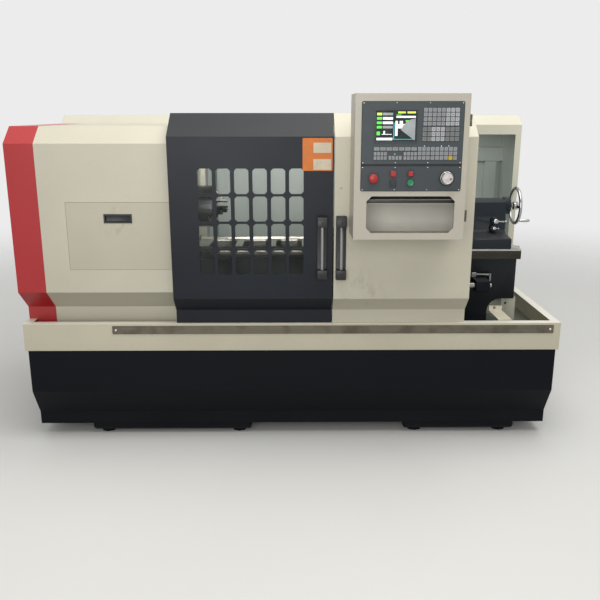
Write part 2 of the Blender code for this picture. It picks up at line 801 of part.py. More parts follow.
def build_pedestal(name, span, carrier):
    """Build one cast pedestal, open below, with four levelling feet."""
    x0, x1 = span
    d0, d1 = PEDESTAL_SETBACK, PEDESTAL_SETBACK + PEDESTAL_DEPTH
    top = Z_TRAY_FLOOR - PLATE - FIT
    shell = add(name, block(span, (d0, d1), (FOOT_HEIGHT, top)), "dark_paint", carrier)
    bevel(shell, 0.008)
    wall = PEDESTAL_WALL
    half_arch = ARCH_SHARE * (x1 - x0) / 2
    middle = (x0 + x1) / 2
    cavity = block(
        (x0 + wall, x1 - wall), (d0 + wall, d1 - wall), (FOOT_HEIGHT + PLATE, top - wall)
    )
    mouth = block(
        (middle - half_arch, middle + half_arch), (d0 + 2 * wall, d1 - 2 * wall),
        (FOOT_HEIGHT - THROUGH, FOOT_HEIGHT + wall),
    )
    arch_outline = filleted([
        (middle - half_arch, FOOT_HEIGHT - THROUGH), (middle + half_arch, FOOT_HEIGHT - THROUGH),
        (middle + half_arch * 0.85, FOOT_HEIGHT + ARCH_HEIGHT * 0.4),
        (middle - half_arch * 0.85, FOOT_HEIGHT + ARCH_HEIGHT * 0.4),
    ], 0.012, 2)
    arch = prism(arch_outline, (d1 - wall - THROUGH, d1 + THROUGH), "Y")
    cut(shell, cavity, mouth, arch)
    foot_profile = [
        (0.0, 0.0), (0.0, FOOT_RADIUS), (0.010, FOOT_RADIUS), (0.016, FOOT_STEM_RADIUS),
        (FOOT_HEIGHT + 0.002, FOOT_STEM_RADIUS), (FOOT_HEIGHT + 0.002, 0.0),
    ]
    feet = [
        turned(foot_profile, world(x, depth, 0.0), "Z", 8)
        for x in (x0 + FOOT_INSET, x1 - FOOT_INSET)
        for depth in (d0 + FOOT_INSET, d1 - FOOT_INSET)
    ]
    fuse(shell, merged(*feet))


def build_tray(carrier):
    """Build the pan with its turned-in rim and its skirt below the floor."""
    left, right = X_TRAY_LEFT, X_TRAY_RIGHT
    tray = add(
        "chip_tray", block((left, right), (0.0, TRAY_DEPTH), (Z_BAND_BOTTOM, Z_RIM)),
        "cream_paint", carrier,
    )
    pool = block(
        (left + PLATE, right - PLATE), (PLATE, TRAY_DEPTH - PLATE), (Z_TRAY_FLOOR, Z_RIM - PLATE)
    )
    mouth = block(
        (left + RIM_WIDTH, right - RIM_WIDTH), (RIM_WIDTH, TRAY_DEPTH - RIM_WIDTH),
        (Z_TRAY_FLOOR + PLATE, Z_RIM + THROUGH),
    )
    under = block(
        (left + PLATE, right - PLATE), (PLATE, TRAY_DEPTH - PLATE),
        (Z_BAND_BOTTOM - THROUGH, Z_TRAY_FLOOR - PLATE),
    )
    cut(tray, pool, mouth, under)


def bed_side_outline():
    """Return the bed's side view below the way flange, with legs and flared arches."""
    top = Z_WAYS - WAY_FLANGE_HEIGHT / 2
    low = Z_TRAY_FLOOR + FIT
    left = X_BED_LEFT + WAY_FLANGE_OVERHANG
    right = X_BED_RIGHT - WAY_FLANGE_OVERHANG
    points = [(left, top), (left, Z_BED_UNDERSIDE)]
    for leg_left, leg_right in (LEFT_LEG_SPAN, RIGHT_LEG_SPAN):
        points += flare(leg_left, -1)
        points += [(leg_left, low), (leg_right, low)]
        points += flare(leg_right, 1)[::-1]
    points += [(right, Z_BED_UNDERSIDE), (right, top)]
    return points


def flare(x, side, steps=5):
    """Return the quarter arc that joins the bed's underside to a leg, from the underside down."""
    centre = (x + side * LEG_FLARE, Z_BED_UNDERSIDE - LEG_FLARE)
    return [
        (
            centre[0] - side * LEG_FLARE * math.sin(math.pi / 2 * k / steps),
            centre[1] + LEG_FLARE * math.cos(math.pi / 2 * k / steps),
        )
        for k in range(steps + 1)
    ]


def build_bed(carrier):
    """Build the bed casting: ground ways on two walls, cross ribs, and a leg at each end."""
    bed = add("bed", prism(ways_outline(), (X_BED_LEFT, X_BED_RIGHT)), "dark_paint", carrier)
    inset = WAY_FLANGE_OVERHANG
    sides = prism(
        bed_side_outline(), (D_BED + inset, D_BED + BED_WIDTH - inset), "Y"
    )
    fuse(bed, sides)
    windows = [
        prism(
            rectangle(
                BED_WINDOW_LENGTH, BED_WIDTH - 2 * (inset + BED_WALL),
                (X_FIRST_WINDOW + k * (BED_WINDOW_LENGTH + BED_RIB) + BED_WINDOW_LENGTH / 2, D_AXIS),
                0.020, 1,
            ),
            (Z_BED_UNDERSIDE - THROUGH, Z_WAYS + THROUGH), "Z",
        )
        for k in range(BED_WINDOWS)
    ]
    cut(bed, merged(*windows))


def build_headstock(carrier):
    """Build the headstock casting with its bearing caps and the bore for the spindle."""
    d0 = D_BED + WAY_FLANGE_OVERHANG
    d1 = D_BED + BED_WIDTH - WAY_FLANGE_OVERHANG
    outline = filleted([
        (d0, Z_WAYS - WAY_FLANGE_HEIGHT / 2), (d1, Z_WAYS - WAY_FLANGE_HEIGHT / 2),
        (d1, Z_HEADSTOCK_SHOULDER), (d1 - HEADSTOCK_TAPER, Z_HEADSTOCK_TOP),
        (d0 + HEADSTOCK_TAPER, Z_HEADSTOCK_TOP), (d0, Z_HEADSTOCK_SHOULDER),
    ], 0.020, 3)
    body = add(
        "headstock", prism(outline, (X_HEADSTOCK_LEFT, X_HEADSTOCK_RIGHT)), "dark_paint", carrier
    )
    centre = world(0.0, D_AXIS, Z_AXIS)
    cap = rod(
        BEARING_CAP_RADIUS,
        (X_HEADSTOCK_LEFT - BEARING_CAP_LENGTH, X_HEADSTOCK_RIGHT + BEARING_CAP_LENGTH),
        centre, "X", 24,
    )
    fuse(body, cap)
    bore = rod(
        SPINDLE_RADIUS + FIT,
        (X_HEADSTOCK_LEFT - 2 * BEARING_CAP_LENGTH, X_HEADSTOCK_RIGHT + 2 * BEARING_CAP_LENGTH),
        centre, "X", 32,
    )
    cut(body, bore)
    seat_on_ways(body)


def build_spindle(carrier):
    """Build the hollow spindle, its pulley and the chuck body, all turning together."""
    centre = world(0.0, D_AXIS, Z_AXIS)
    shoulder = X_HEADSTOCK_LEFT - BEARING_CAP_LENGTH - PLATE
    flange = X_NOSE - SPINDLE_FLANGE_LENGTH
    profile = [
        (X_SPINDLE_END, SPINDLE_BORE), (X_SPINDLE_END, SPINDLE_SEAT_RADIUS),
        (shoulder, SPINDLE_SEAT_RADIUS), (shoulder, SPINDLE_RADIUS),
        (flange, SPINDLE_RADIUS), (flange, SPINDLE_FLANGE_RADIUS),
        (X_NOSE, SPINDLE_FLANGE_RADIUS), (X_NOSE, SPINDLE_BORE),
    ]
    add("spindle", turned(profile, centre, "X", 24, True), "steel", carrier, smooth=35)
    pulley = pulley_profile(PULLEY_RADIUS, SPINDLE_SEAT_RADIUS + FIT)
    add("spindle_pulley", turned(pulley, centre, "X", 24, True), "aluminium", carrier, smooth=35)
    build_chuck(carrier, centre)


def pulley_profile(radius, bore):
    """Return a flanged pulley's half section, grooved between its flanges."""
    x0 = X_PULLEY - PULLEY_WIDTH / 2
    x1 = X_PULLEY + PULLEY_WIDTH / 2
    rim = radius + PULLEY_FLANGE
    start = x0 + PULLEY_FLANGE_WIDTH
    points = [(x0, bore), (x0, rim), (start, rim), (start, radius)]
    pitch = (PULLEY_WIDTH - 2 * PULLEY_FLANGE_WIDTH) / (BELT_GROOVES + 1)
    for groove in range(1, BELT_GROOVES + 1):
        points += [
            (start + (groove - 0.1) * pitch, radius),
            (start + (groove + 0.4) * pitch, radius - GROOVE_DEPTH),
        ]
    points.append((start + (BELT_GROOVES + 0.9) * pitch, radius))
    points += [(x1 - PULLEY_FLANGE_WIDTH, radius), (x1 - PULLEY_FLANGE_WIDTH, rim), (x1, rim), (x1, bore)]
    return points


def build_chuck(carrier, centre):
    """Build the chuck body with three jaw slots, key sockets and a through bore."""
    back = X_CHUCK_BACK
    front = X_CHUCK_FACE
    start = back + BACKPLATE_LENGTH
    hub = CHUCK_RADIUS * 0.84
    chamfer = 0.004
    profile = [
        (back, CHUCK_BORE), (back, SPINDLE_FLANGE_RADIUS), (start, hub),
        (start, CHUCK_RADIUS - chamfer), (start + chamfer, CHUCK_RADIUS),
        (front - chamfer, CHUCK_RADIUS), (front, CHUCK_RADIUS - chamfer), (front, CHUCK_BORE),
    ]
    body = add("chuck_body", turned(profile, centre, "X", 32, True), "steel", carrier, smooth=35)
    for index in range(JAWS):
        slot = jaw_tee(RUN, (Z_AXIS + CHUCK_BORE * 0.4, Z_AXIS + CHUCK_RADIUS + THROUGH), THROUGH)
        socket = prism(
            rectangle(KEY_SQUARE, KEY_SQUARE, (start + CHUCK_LENGTH * 0.35, D_AXIS)),
            (Z_AXIS + CHUCK_RADIUS - KEY_DEPTH, Z_AXIS + CHUCK_RADIUS + THROUGH), "Z",
        )
        turn_about_spindle(slot, jaw_angle(index))
        turn_about_spindle(socket, jaw_angle(index) + math.pi / JAWS)
        cut(body, slot, socket)


def jaw_angle(index):
    """Return the turn of one jaw about the spindle, from straight up."""
    return 2 * math.pi * index / JAWS


def turn_about_spindle(bm, angle):
    """Turn a shape about the spindle line, by the right-hand rule about +X."""
    centre = world(0.0, D_AXIS, Z_AXIS)
    bmesh.ops.rotate(bm, verts=bm.verts, cent=centre, matrix=Matrix.Rotation(angle, 3, "X"))


def jaw_tee(gap, heights, proud):
    """Return the T-shaped root of a jaw, or with a gap its slot, as it slides along Z."""
    face = X_CHUCK_FACE + proud
    neck = X_CHUCK_FACE - JAW_SEAT_DEPTH + JAW_TONGUE
    root = X_CHUCK_FACE - JAW_SEAT_DEPTH - gap
    wide = JAW_WIDTH / 2 + JAW_TONGUE_STEP + gap
    narrow = JAW_WIDTH / 2 + gap
    outline = [
        (root, D_AXIS - wide), (neck + gap, D_AXIS - wide), (neck + gap, D_AXIS - narrow),
        (face, D_AXIS - narrow), (face, D_AXIS + narrow), (neck + gap, D_AXIS + narrow),
        (neck + gap, D_AXIS + wide), (root, D_AXIS + wide),
    ]
    return prism(outline, heights, "Z")


def build_jaw(index, carrier):
    """Build one stepped jaw, sliding outwards in its slot."""
    inner, outer = Z_AXIS + JAW_INNER, Z_AXIS + JAW_OUTER
    root = jaw_tee(0.0, (inner, outer), 0.0)
    step = (outer - inner) / (JAW_STEPS + 1)
    rise = JAW_REACH / JAW_STEPS
    stairs = [(X_CHUCK_FACE - JAW_TONGUE / 2, inner)]
    for level in range(JAW_STEPS):
        x = X_CHUCK_FACE + JAW_REACH - level * rise
        stairs += [(x, inner + level * step), (x, inner + (level + 1) * step)]
    stairs += [(X_CHUCK_FACE + JAW_TONGUE / 2, outer), (X_CHUCK_FACE - JAW_TONGUE / 2, outer)]
    top = prism(stairs, (D_AXIS - JAW_WIDTH / 2 + FIT, D_AXIS + JAW_WIDTH / 2 - FIT), "Y")
    nose = prism(
        [
            (D_AXIS - JAW_WIDTH, inner - THROUGH), (D_AXIS - JAW_WIDTH, inner + JAW_WIDTH * 0.6),
            (D_AXIS, inner), (D_AXIS + JAW_WIDTH, inner + JAW_WIDTH * 0.6),
            (D_AXIS + JAW_WIDTH, inner - THROUGH),
        ],
        (X_CHUCK_FACE - JAW_SEAT_DEPTH - THROUGH, X_CHUCK_FACE + JAW_REACH + THROUGH),
    )
    for shape in (root, top, nose):
        turn_about_spindle(shape, jaw_angle(index))
    jaw = add(f"jaw_{index + 1}", root, "steel", carrier)
    fuse(jaw, top)
    cut(jaw, nose)


def build_motor_drive(carrier, shaft_carrier):
    """Build the main motor on its feet, its pulley on the shaft, and the belt."""
    centre = world(0.0, D_MOTOR, Z_MOTOR)
    x0, x1 = MOTOR_SPAN
    bell = MOTOR_BELL
    fins = []
    for k in range(MOTOR_FINS):
        for share, radius in ((0.0, MOTOR_RADIUS), (0.45, MOTOR_RADIUS), (0.5, MOTOR_RADIUS - MOTOR_FIN),
                              (0.95, MOTOR_RADIUS - MOTOR_FIN)):
            angle = 2 * math.pi * (k + share) / MOTOR_FINS
            fins.append((D_MOTOR + radius * math.cos(angle), Z_MOTOR + radius * math.sin(angle)))
    motor = add("main_motor", prism(fins, (x0 + bell, x1 - bell)), "grey_paint", carrier)
    inner = MOTOR_RADIUS - MOTOR_FIN / 2
    front_bell = [(x0, 0.0), (x0, inner * 0.55), (x0 + bell * 0.5, inner), (x0 + bell + PLATE, inner),
                  (x0 + bell + PLATE, 0.0)]
    rear_bell = [(x1 - bell - PLATE, 0.0), (x1 - bell - PLATE, inner), (x1 - 0.008, inner),
                 (x1, inner - 0.008), (x1, 0.0)]
    middle = (x0 + x1) / 2
    foot = block(
        (middle - MOTOR_FOOT_LENGTH / 2, middle + MOTOR_FOOT_LENGTH / 2),
        (D_MOTOR - MOTOR_FOOT_WIDTH / 2, D_MOTOR + MOTOR_FOOT_WIDTH / 2),
        (Z_TRAY_FLOOR + FIT, Z_TRAY_FLOOR + FIT + MOTOR_FOOT_THICKNESS),
    )
    saddle = block(
        (middle - MOTOR_FOOT_LENGTH / 2, middle + MOTOR_FOOT_LENGTH / 2),
        (D_MOTOR - MOTOR_FOOT_WIDTH * 0.3, D_MOTOR + MOTOR_FOOT_WIDTH * 0.3),
        (Z_TRAY_FLOOR + MOTOR_FOOT_THICKNESS / 2, Z_MOTOR - MOTOR_RADIUS * 0.5),
    )
    terminals = block(
        (middle - TERMINAL_BOX[0] / 2, middle + TERMINAL_BOX[0] / 2),
        (D_MOTOR - TERMINAL_BOX[1] / 2, D_MOTOR + TERMINAL_BOX[1] / 2),
        (Z_MOTOR + MOTOR_RADIUS * 0.7, Z_MOTOR + MOTOR_RADIUS + TERMINAL_BOX[2]),
    )
    fuse(
        motor, turned(front_bell, centre, "X", 12), turned(rear_bell, centre, "X", 12), foot, saddle,
        terminals,
    )
    shaft_hole = rod(MOTOR_SHAFT_RADIUS + RUN, (x0 - THROUGH, x0 + bell), centre, "X", 16)
    cut(motor, shaft_hole)

    pulley = pulley_profile(MOTOR_PULLEY_RADIUS, 0.0)
    shaft = [(x0 + bell * 0.8, 0.0), (x0 + bell * 0.8, MOTOR_SHAFT_RADIUS),
             (pulley[-1][0], MOTOR_SHAFT_RADIUS)]
    add(
        "motor_pulley", turned(pulley[:-1] + shaft[::-1], centre, "X", 18), "aluminium",
        shaft_carrier, smooth=35,
    )
    width = PULLEY_WIDTH / 2 - PULLEY_FLANGE_WIDTH - FIT
    loop = prism(belt_outline(BELT_THICKNESS), (X_PULLEY - width, X_PULLEY + width))
    belt = add("drive_belt", loop, "belt_rubber", carrier)
    cut(belt, prism(belt_outline(0.0), (X_PULLEY - PULLEY_WIDTH, X_PULLEY + PULLEY_WIDTH)))


def belt_outline(thickness, steps=14):
    """Return the outline of the belt's outside, or its inside where the thickness is nothing."""
    spindle, motor = Vector((D_AXIS, Z_AXIS)), Vector((D_MOTOR, Z_MOTOR))
    big = PULLEY_RADIUS + FIT + thickness
    small = MOTOR_PULLEY_RADIUS + FIT + thickness
    line = motor - spindle
    lean = math.acos((big - small) / line.length)
    heading = math.atan2(line.y, line.x)
    points = []
    for centre, radius, start, sweep in (
        (spindle, big, heading + lean, 2 * math.pi - 2 * lean),
        (motor, small, heading - lean, 2 * lean),
    ):
        outside = radius / math.cos(sweep / steps / 2)
        for k in range(steps + 1):
            angle = start + sweep * k / steps
            points.append((
                centre.x + outside * math.cos(angle), centre.y + outside * math.sin(angle),
            ))
    return points


def cover_outline(low, inset=0.0):
    """Return the side view of a headstock cover down to a height, or of the space inside it."""
    points = [
        (COVER_LIP_DEPTH, low), (COVER_BACK, low), (COVER_BACK, Z_COVER_TOP),
        (COVER_TOP_DEPTH, Z_COVER_TOP), (COVER_FRONT, Z_COVER_SLOPE), (COVER_FRONT, Z_COVER_TAPER),
        (COVER_LIP_DEPTH, Z_COVER_LIP),
    ]
    if not inset:
        return points
    points = offset_line(points, inset, closed=True)
    for index in (0, 1):
        points[index] = (points[index][0], low - THROUGH)
    return points


def build_covers(carrier):
    """Build the left end cover with its louvres and the headstock cover with its hatch opening."""
    join = X_COVER_JOIN
    rim = Z_RIM + FIT
    floor = Z_TRAY_FLOOR + FIT
    end = add(
        "left_end_cover", prism(cover_outline(rim), (X_TRAY_LEFT, join - FIT)), "red_paint", carrier
    )
    cut(end, prism(cover_outline(rim, SHEET), (X_TRAY_LEFT + SHEET, join + THROUGH)))
    apron = block(
        (X_TRAY_LEFT + RIM_WIDTH + RUN, join - FIT), (COVER_LIP_DEPTH, COVER_LIP_DEPTH + SHEET),
        (floor, rim + THROUGH),
    )
    fuse(end, apron)
    louvres = [
        prism(
            rectangle(
                LOUVRE_LENGTH, LOUVRE_HEIGHT,
                (D_AXIS, Z_LOUVRE + k * LOUVRE_PITCH), LOUVRE_HEIGHT * 0.45, 1,
            ),
            (X_TRAY_LEFT - THROUGH, X_TRAY_LEFT + THROUGH),
        )
        for k in range(LOUVRES)
    ]
    cut(end, merged(*louvres))

    cover = add(
        "headstock_cover", prism(cover_outline(floor), (join, X_COVER_RIGHT)), "cream_paint", carrier
    )
    cut(cover, prism(cover_outline(floor, SHEET), (join - THROUGH, X_COVER_RIGHT - SHEET)))
    hatch_hole = block(HATCH_SPAN, (COVER_FRONT - THROUGH, COVER_FRONT + THROUGH), HATCH_HEIGHTS)
    nose_hole = rod(
        NOSE_HOLE_RADIUS, (X_COVER_RIGHT - THROUGH, X_COVER_RIGHT + THROUGH),
        world(0.0, D_AXIS, Z_AXIS), "X", 24,
    )
    wall = (X_COVER_RIGHT - THROUGH, X_COVER_RIGHT + THROUGH)
    bed_hole = block(
        wall, (D_BED - COVER_CLEARANCE, D_BED + BED_WIDTH + COVER_CLEARANCE),
        (floor - THROUGH, Z_WAYS + V_WAY_HEIGHT + COVER_CLEARANCE),
    )
    screw_hole = rod(SCREW_RADIUS + COVER_CLEARANCE, wall, world(0.0, D_SCREW, Z_SCREW), "X", 14)
    cut(cover, hatch_hole, nose_hole, bed_hole, screw_hole)


def build_hatch(carrier):
    """Build the lift-off hatch as a folded tray, with its recessed pull."""
    x0, x1 = HATCH_SPAN[0] + HATCH_GAP, HATCH_SPAN[1] - HATCH_GAP
    z0, z1 = HATCH_HEIGHTS[0] + HATCH_GAP, HATCH_HEIGHTS[1] - HATCH_GAP
    front = COVER_FRONT
    hatch = add(
        "headstock_hatch", block((x0, x1), (front, front + HATCH_FOLD), (z0, z1)), "cream_paint", carrier
    )
    hollow = block(
        (x0 + SHEET, x1 - SHEET), (front + SHEET, front + HATCH_FOLD + THROUGH), (z0 + SHEET, z1 - SHEET)
    )
    mouth = prism(
        rectangle(PULL_WIDTH, PULL_HEIGHT, (X_PULL, Z_PULL), 0.004, 2),
        (front - THROUGH, front + THROUGH), "Y",
    )
    cut(hatch, hollow, mouth)
    rim = rectangle(
        PULL_WIDTH + 2 * PULL_RIM, PULL_HEIGHT + 2 * PULL_RIM, (X_PULL, Z_PULL), 0.006, 2
    )
    pull = add(
        "hatch_pull", prism(rim, (front - FIT - PULL_PROUD, front - FIT), "Y"), "black_plastic", carrier
    )
    cup_outline = rectangle(
        PULL_WIDTH - 2 * FIT, PULL_HEIGHT - 2 * FIT, (X_PULL, Z_PULL), 0.004, 2
    )
    cup = prism(cup_outline, (front - FIT - PULL_PROUD + RUN, front + PULL_DEPTH), "Y")
    finger = prism(
        rectangle(PULL_WIDTH - 2 * PULL_WALL, PULL_HEIGHT - 2 * PULL_WALL, (X_PULL, Z_PULL), PULL_WALL, 2),
        (front - THROUGH, front + PULL_DEPTH - THIN_SHEET), "Y",
    )
    fuse(pull, cup)
    cut(pull, finger)


def guard_outline(inset=0.0):
    """Return the rear guard's side view, or that of the space inside it."""
    low = Z_RIM + FIT
    slope_top = D_GUARD + GUARD_SLOPE_DEPTH
    points = [
        (D_GUARD, low), (TRAY_DEPTH, low), (TRAY_DEPTH, Z_GUARD_TOP), (slope_top, Z_GUARD_TOP),
        (D_GUARD, Z_GUARD_LIP),
    ]
    if not inset:
        return points
    points = offset_line(points, inset, closed=True)
    for index in (0, 1):
        points[index] = (points[index][0], low - THROUGH)
    return points


def build_guard(carrier):
    """Build the rear guard: roof, back, ends, posts and lip in one folded shell, with stiffeners."""
    left, right = X_TRAY_LEFT, X_TRAY_RIGHT
    guard = add("rear_guard", prism(guard_outline(), (left, right)), "cream_paint", carrier)
    opening = block(
        (left + GUARD_POST, right - GUARD_POST), (D_GUARD - THROUGH, D_GUARD + THROUGH),
        (Z_RIM - THROUGH, Z_GUARD_LIP - GUARD_LIP),
    )
    cut(guard, prism(guard_outline(SHEET), (left + SHEET, right - SHEET)), opening)
    back = TRAY_DEPTH - SHEET / 2
    beam = folded(
        [
            (back, BEAM_HEIGHTS[0]), (back - BEAM_DEPTH, BEAM_HEIGHTS[0]),
            (back - BEAM_DEPTH, BEAM_HEIGHTS[1]), (back, BEAM_HEIGHTS[1]),
        ],
        -THIN_SHEET,
    )
    beam_start = CABINET_SPAN[1] + 4 * CABINET_LAP
    shapes = [prism(beam, (beam_start, right - SHEET / 2))]
    for k in range(STIFFENER_COUNT):
        x1 = right - STIFFENER_INSET - k * (right - STIFFENER_INSET - beam_start - STIFFENER_WIDTH)
        stiffener = folded(
            [
                (x1 - STIFFENER_WIDTH, back), (x1 - STIFFENER_WIDTH, back - BEAM_DEPTH * 0.8),
                (x1, back - BEAM_DEPTH * 0.8), (x1, back),
            ],
            THIN_SHEET,
        )
        shapes.append(prism(stiffener, (Z_RIM + 2 * THROUGH, BEAM_HEIGHTS[0] + THIN_SHEET / 2), "Z"))
    fuse(guard, *shapes)
    window = block(
        CABINET_SPAN, (TRAY_DEPTH - THROUGH, TRAY_DEPTH + THROUGH), CABINET_HEIGHTS
    )
    cut(guard, window)


def build_cabinet(carrier, door_carrier):
    """Build the electrical cabinet inside the rear guard and its door on the machine's back."""
    x0, x1 = CABINET_SPAN[0] - CABINET_LAP, CABINET_SPAN[1] + CABINET_LAP
    z0, z1 = CABINET_HEIGHTS[0] - CABINET_LAP, CABINET_HEIGHTS[1] + CABINET_LAP
    back = TRAY_DEPTH - SHEET - FIT
    front = back - CABINET_DEPTH
    shell = add(
        "electrical_cabinet", block((x0, x1), (front, back), (z0, z1)), "grey_paint", carrier
    )
    hollow = block(
        (x0 + THIN_SHEET, x1 - THIN_SHEET), (front + THIN_SHEET, back - THIN_SHEET),
        (z0 + THIN_SHEET, z1 - THIN_SHEET),
    )
    mouth = block(CABINET_SPAN, (back - THROUGH, back + THROUGH), CABINET_HEIGHTS)
    cut(shell, hollow, mouth)

    d0 = TRAY_DEPTH + FIT
    d1 = d0 + CABINET_DOOR_DEPTH
    door = add("cabinet_door", block((x0, x1), (d0, d1), (z0, z1)), "cream_paint", door_carrier)
    bevel(door, 0.002)
    inside = block(
        (x0 + THIN_SHEET, x1 - THIN_SHEET), (d0 - THROUGH, d1 - THIN_SHEET),
        (z0 + THIN_SHEET, z1 - THIN_SHEET),
    )
    cut(door, inside)
    latches = [
        turned(
            [
                (d1 - THIN_SHEET / 2, 0.0), (d1 - THIN_SHEET / 2, CABINET_LATCH_RADIUS),
                (d1 + CABINET_LATCH_LENGTH, CABINET_LATCH_RADIUS * 0.9),
                (d1 + CABINET_LATCH_LENGTH, 0.0),
            ],
            world(x0 + 0.035, 0.0, z0 + share * (z1 - z0)), "Y", 12,
        )
        for share in (0.25, 0.75)
    ]
    fuse(door, merged(*latches))


def door_line():
    """Return the outer face of a sliding door in section, from the lip up and over to the back."""
    return [
        (DOOR_LIP_DEPTH, Z_RIM + RUN), (DOOR_LIP_DEPTH, Z_DOOR_LIP), (DOOR_FRONT, Z_DOOR_TAPER),
        (DOOR_FRONT, Z_DOOR_SLOPE), (DOOR_TOP_DEPTH, Z_DOOR_TOP), (DOOR_BACK, Z_DOOR_TOP),
        (DOOR_BACK, Z_GUARD_TOP + RUN),
    ]


def build_door(name, span, finish, carrier):
    """Build one sliding door: a sheet folded from lip to roof, with a turned-in edge each side."""
    door = add(name, prism(folded(door_line(), -SHEET), span), finish, carrier)
    line = door_line()[:5] + [(DOOR_FLANGE_END, Z_DOOR_TOP)]
    inner = offset_line(line, -SHEET / 2)
    edge = inner + offset_line(line, -DOOR_FLANGE)[::-1]
    for x in (span[0], span[1] - SHEET):
        fuse(door, prism(edge, (x, x + SHEET)))
    return door


def grille_holes():
    """Return the window's holes as one cutter, row by row."""
    holes = []
    for column in range(GRILLE_COLUMNS):
        for row in range(GRILLE_ROWS):
            centre = (
                X_GRILLE + (column - (GRILLE_COLUMNS - 1) / 2) * GRILLE_PITCH_X,
                Z_GRILLE + (row - (GRILLE_ROWS - 1) / 2) * GRILLE_PITCH_Z,
            )
            outline = rectangle(
                GRILLE_HOLE_WIDTH, GRILLE_HOLE_HEIGHT, centre, GRILLE_HOLE_RADIUS, 1
            )
            holes.append(prism(outline, (DOOR_FRONT - THROUGH, DOOR_FRONT + THROUGH), "Y"))
    return merged(*holes)


def build_left_door(carrier):
    """Build the dark door with its window grille, the pane behind it and its handle."""
    door = build_door("left_door", LEFT_DOOR_SPAN, "dark_paint", carrier)
    cut(door, grille_holes())
    width = (GRILLE_COLUMNS - 1) * GRILLE_PITCH_X + GRILLE_HOLE_WIDTH + 2 * PANE_MARGIN
    height = (GRILLE_ROWS - 1) * GRILLE_PITCH_Z + GRILLE_HOLE_HEIGHT + 2 * PANE_MARGIN
    back = DOOR_FRONT + SHEET + FIT
    pane = prism(
        rectangle(width, height, (X_GRILLE, Z_GRILLE), 0.008, 2), (back, back + PANE_THICKNESS), "Y"
    )
    add("door_window", pane, "glass", carrier)
    build_handle("left_handle", X_LEFT_HANDLE, carrier)


def build_right_door(carrier):
    """Build the cream door with its handle."""
    door = build_door("right_door", RIGHT_DOOR_SPAN, "cream_paint", carrier)
    hole = rod(
        DOOR_HOLE_RADIUS, (DOOR_FRONT - THROUGH, DOOR_FRONT + THROUGH),
        world(X_DOOR_HOLE, 0.0, Z_DOOR_HOLE), "Y", 12,
    )
    cut(door, hole)
    build_handle("right_handle", X_RIGHT_HANDLE, carrier)


def build_handle(name, x, carrier):
    """Build a door handle: a channel with an end block top and bottom, and a bar between them."""
    z0, z1 = HANDLE_HEIGHTS
    back = DOOR_FRONT - FIT
    front = back - HANDLE_STAND
    outline = [
        (back, z0), (back, z1), (front + 0.008, z1), (front, z1 - 0.008), (front, z1 - HANDLE_BLOCK),
        (back - HANDLE_CHANNEL, z1 - HANDLE_BLOCK), (back - HANDLE_CHANNEL, z0 + HANDLE_BLOCK),
        (front, z0 + HANDLE_BLOCK), (front, z0 + 0.008), (front + 0.008, z0),
    ]
    frame = add(
        name, prism(outline, (x - HANDLE_WIDTH / 2, x + HANDLE_WIDTH / 2)), "black_plastic", carrier
    )
    bevel(frame, 0.0025)
    centre = world(x, front + HANDLE_STAND * 0.42, 0.0)
    span = (z0 + HANDLE_BLOCK + FIT, z1 - HANDLE_BLOCK - FIT)
    bar = rod(HANDLE_BAR_RADIUS, span, centre, "Z", 14)
    add(f"{name}_bar", bar, "aluminium", carrier, smooth=35)


def build_control_box(carrier):
    """Build the shell of the control box, with a shelf between the electronics and the pocket."""
    x0, x1 = BOX_SPAN
    z0, z1 = BOX_HEIGHTS
    back = DOOR_FRONT - FIT
    front = BOX_FRONT + BOX_LID_DEPTH + FIT
    box = add("control_box", block((x0, x1), (front, back), (z0, z1)), "cream_paint", carrier)
    wall = THIN_SHEET
    upper = block((x0 + wall, x1 - wall), (front - THROUGH, back - wall), (Z_BOX_SHELF, z1 - wall))
    lower = block(
        (x0 + wall, x1 - wall), (front - THROUGH, back - wall), (z0 + wall, Z_BOX_SHELF - wall)
    )
    cut(box, upper, lower)
    fuse(box, *hinge_halves(-1, front))


def hinge_halves(side, joint):
    """Return the knuckles and arms of the box's hinges: side -1 below for the box, 1 above for the lid."""
    x1 = BOX_SPAN[1]
    radius = HINGE_RADIUS
    start = BOX_FRONT + radius
    if side < 0:
        arm = [
            (x1 + FIT, start), (x1 + radius - FIT, start), (x1 + radius - FIT, joint + 3 * radius),
            (x1 - THIN_SHEET / 2, joint + 3 * radius), (x1 - THIN_SHEET / 2, joint + radius / 2),
            (x1 + FIT, joint + radius / 2),
        ]
    else:
        arm = [
            (x1 - THIN_SHEET / 2, BOX_FRONT + radius / 2), (x1 + radius, BOX_FRONT + radius / 2),
            (x1 + radius, start), (x1 - THIN_SHEET / 2, start),
        ]
    line = world(x1 + radius, start, 0.0)
    shapes = []
    for middle in HINGE_HEIGHTS:
        ends = sorted((middle + side * RUN / 2, middle + side * HINGE_LENGTH / 2))
        shapes.append(merged(prism(arm, (ends[0] + 0.001, ends[1] - 0.001), "Z")))
        shapes.append(rod(radius - FIT, ends, line, "Z", 12))
    return shapes


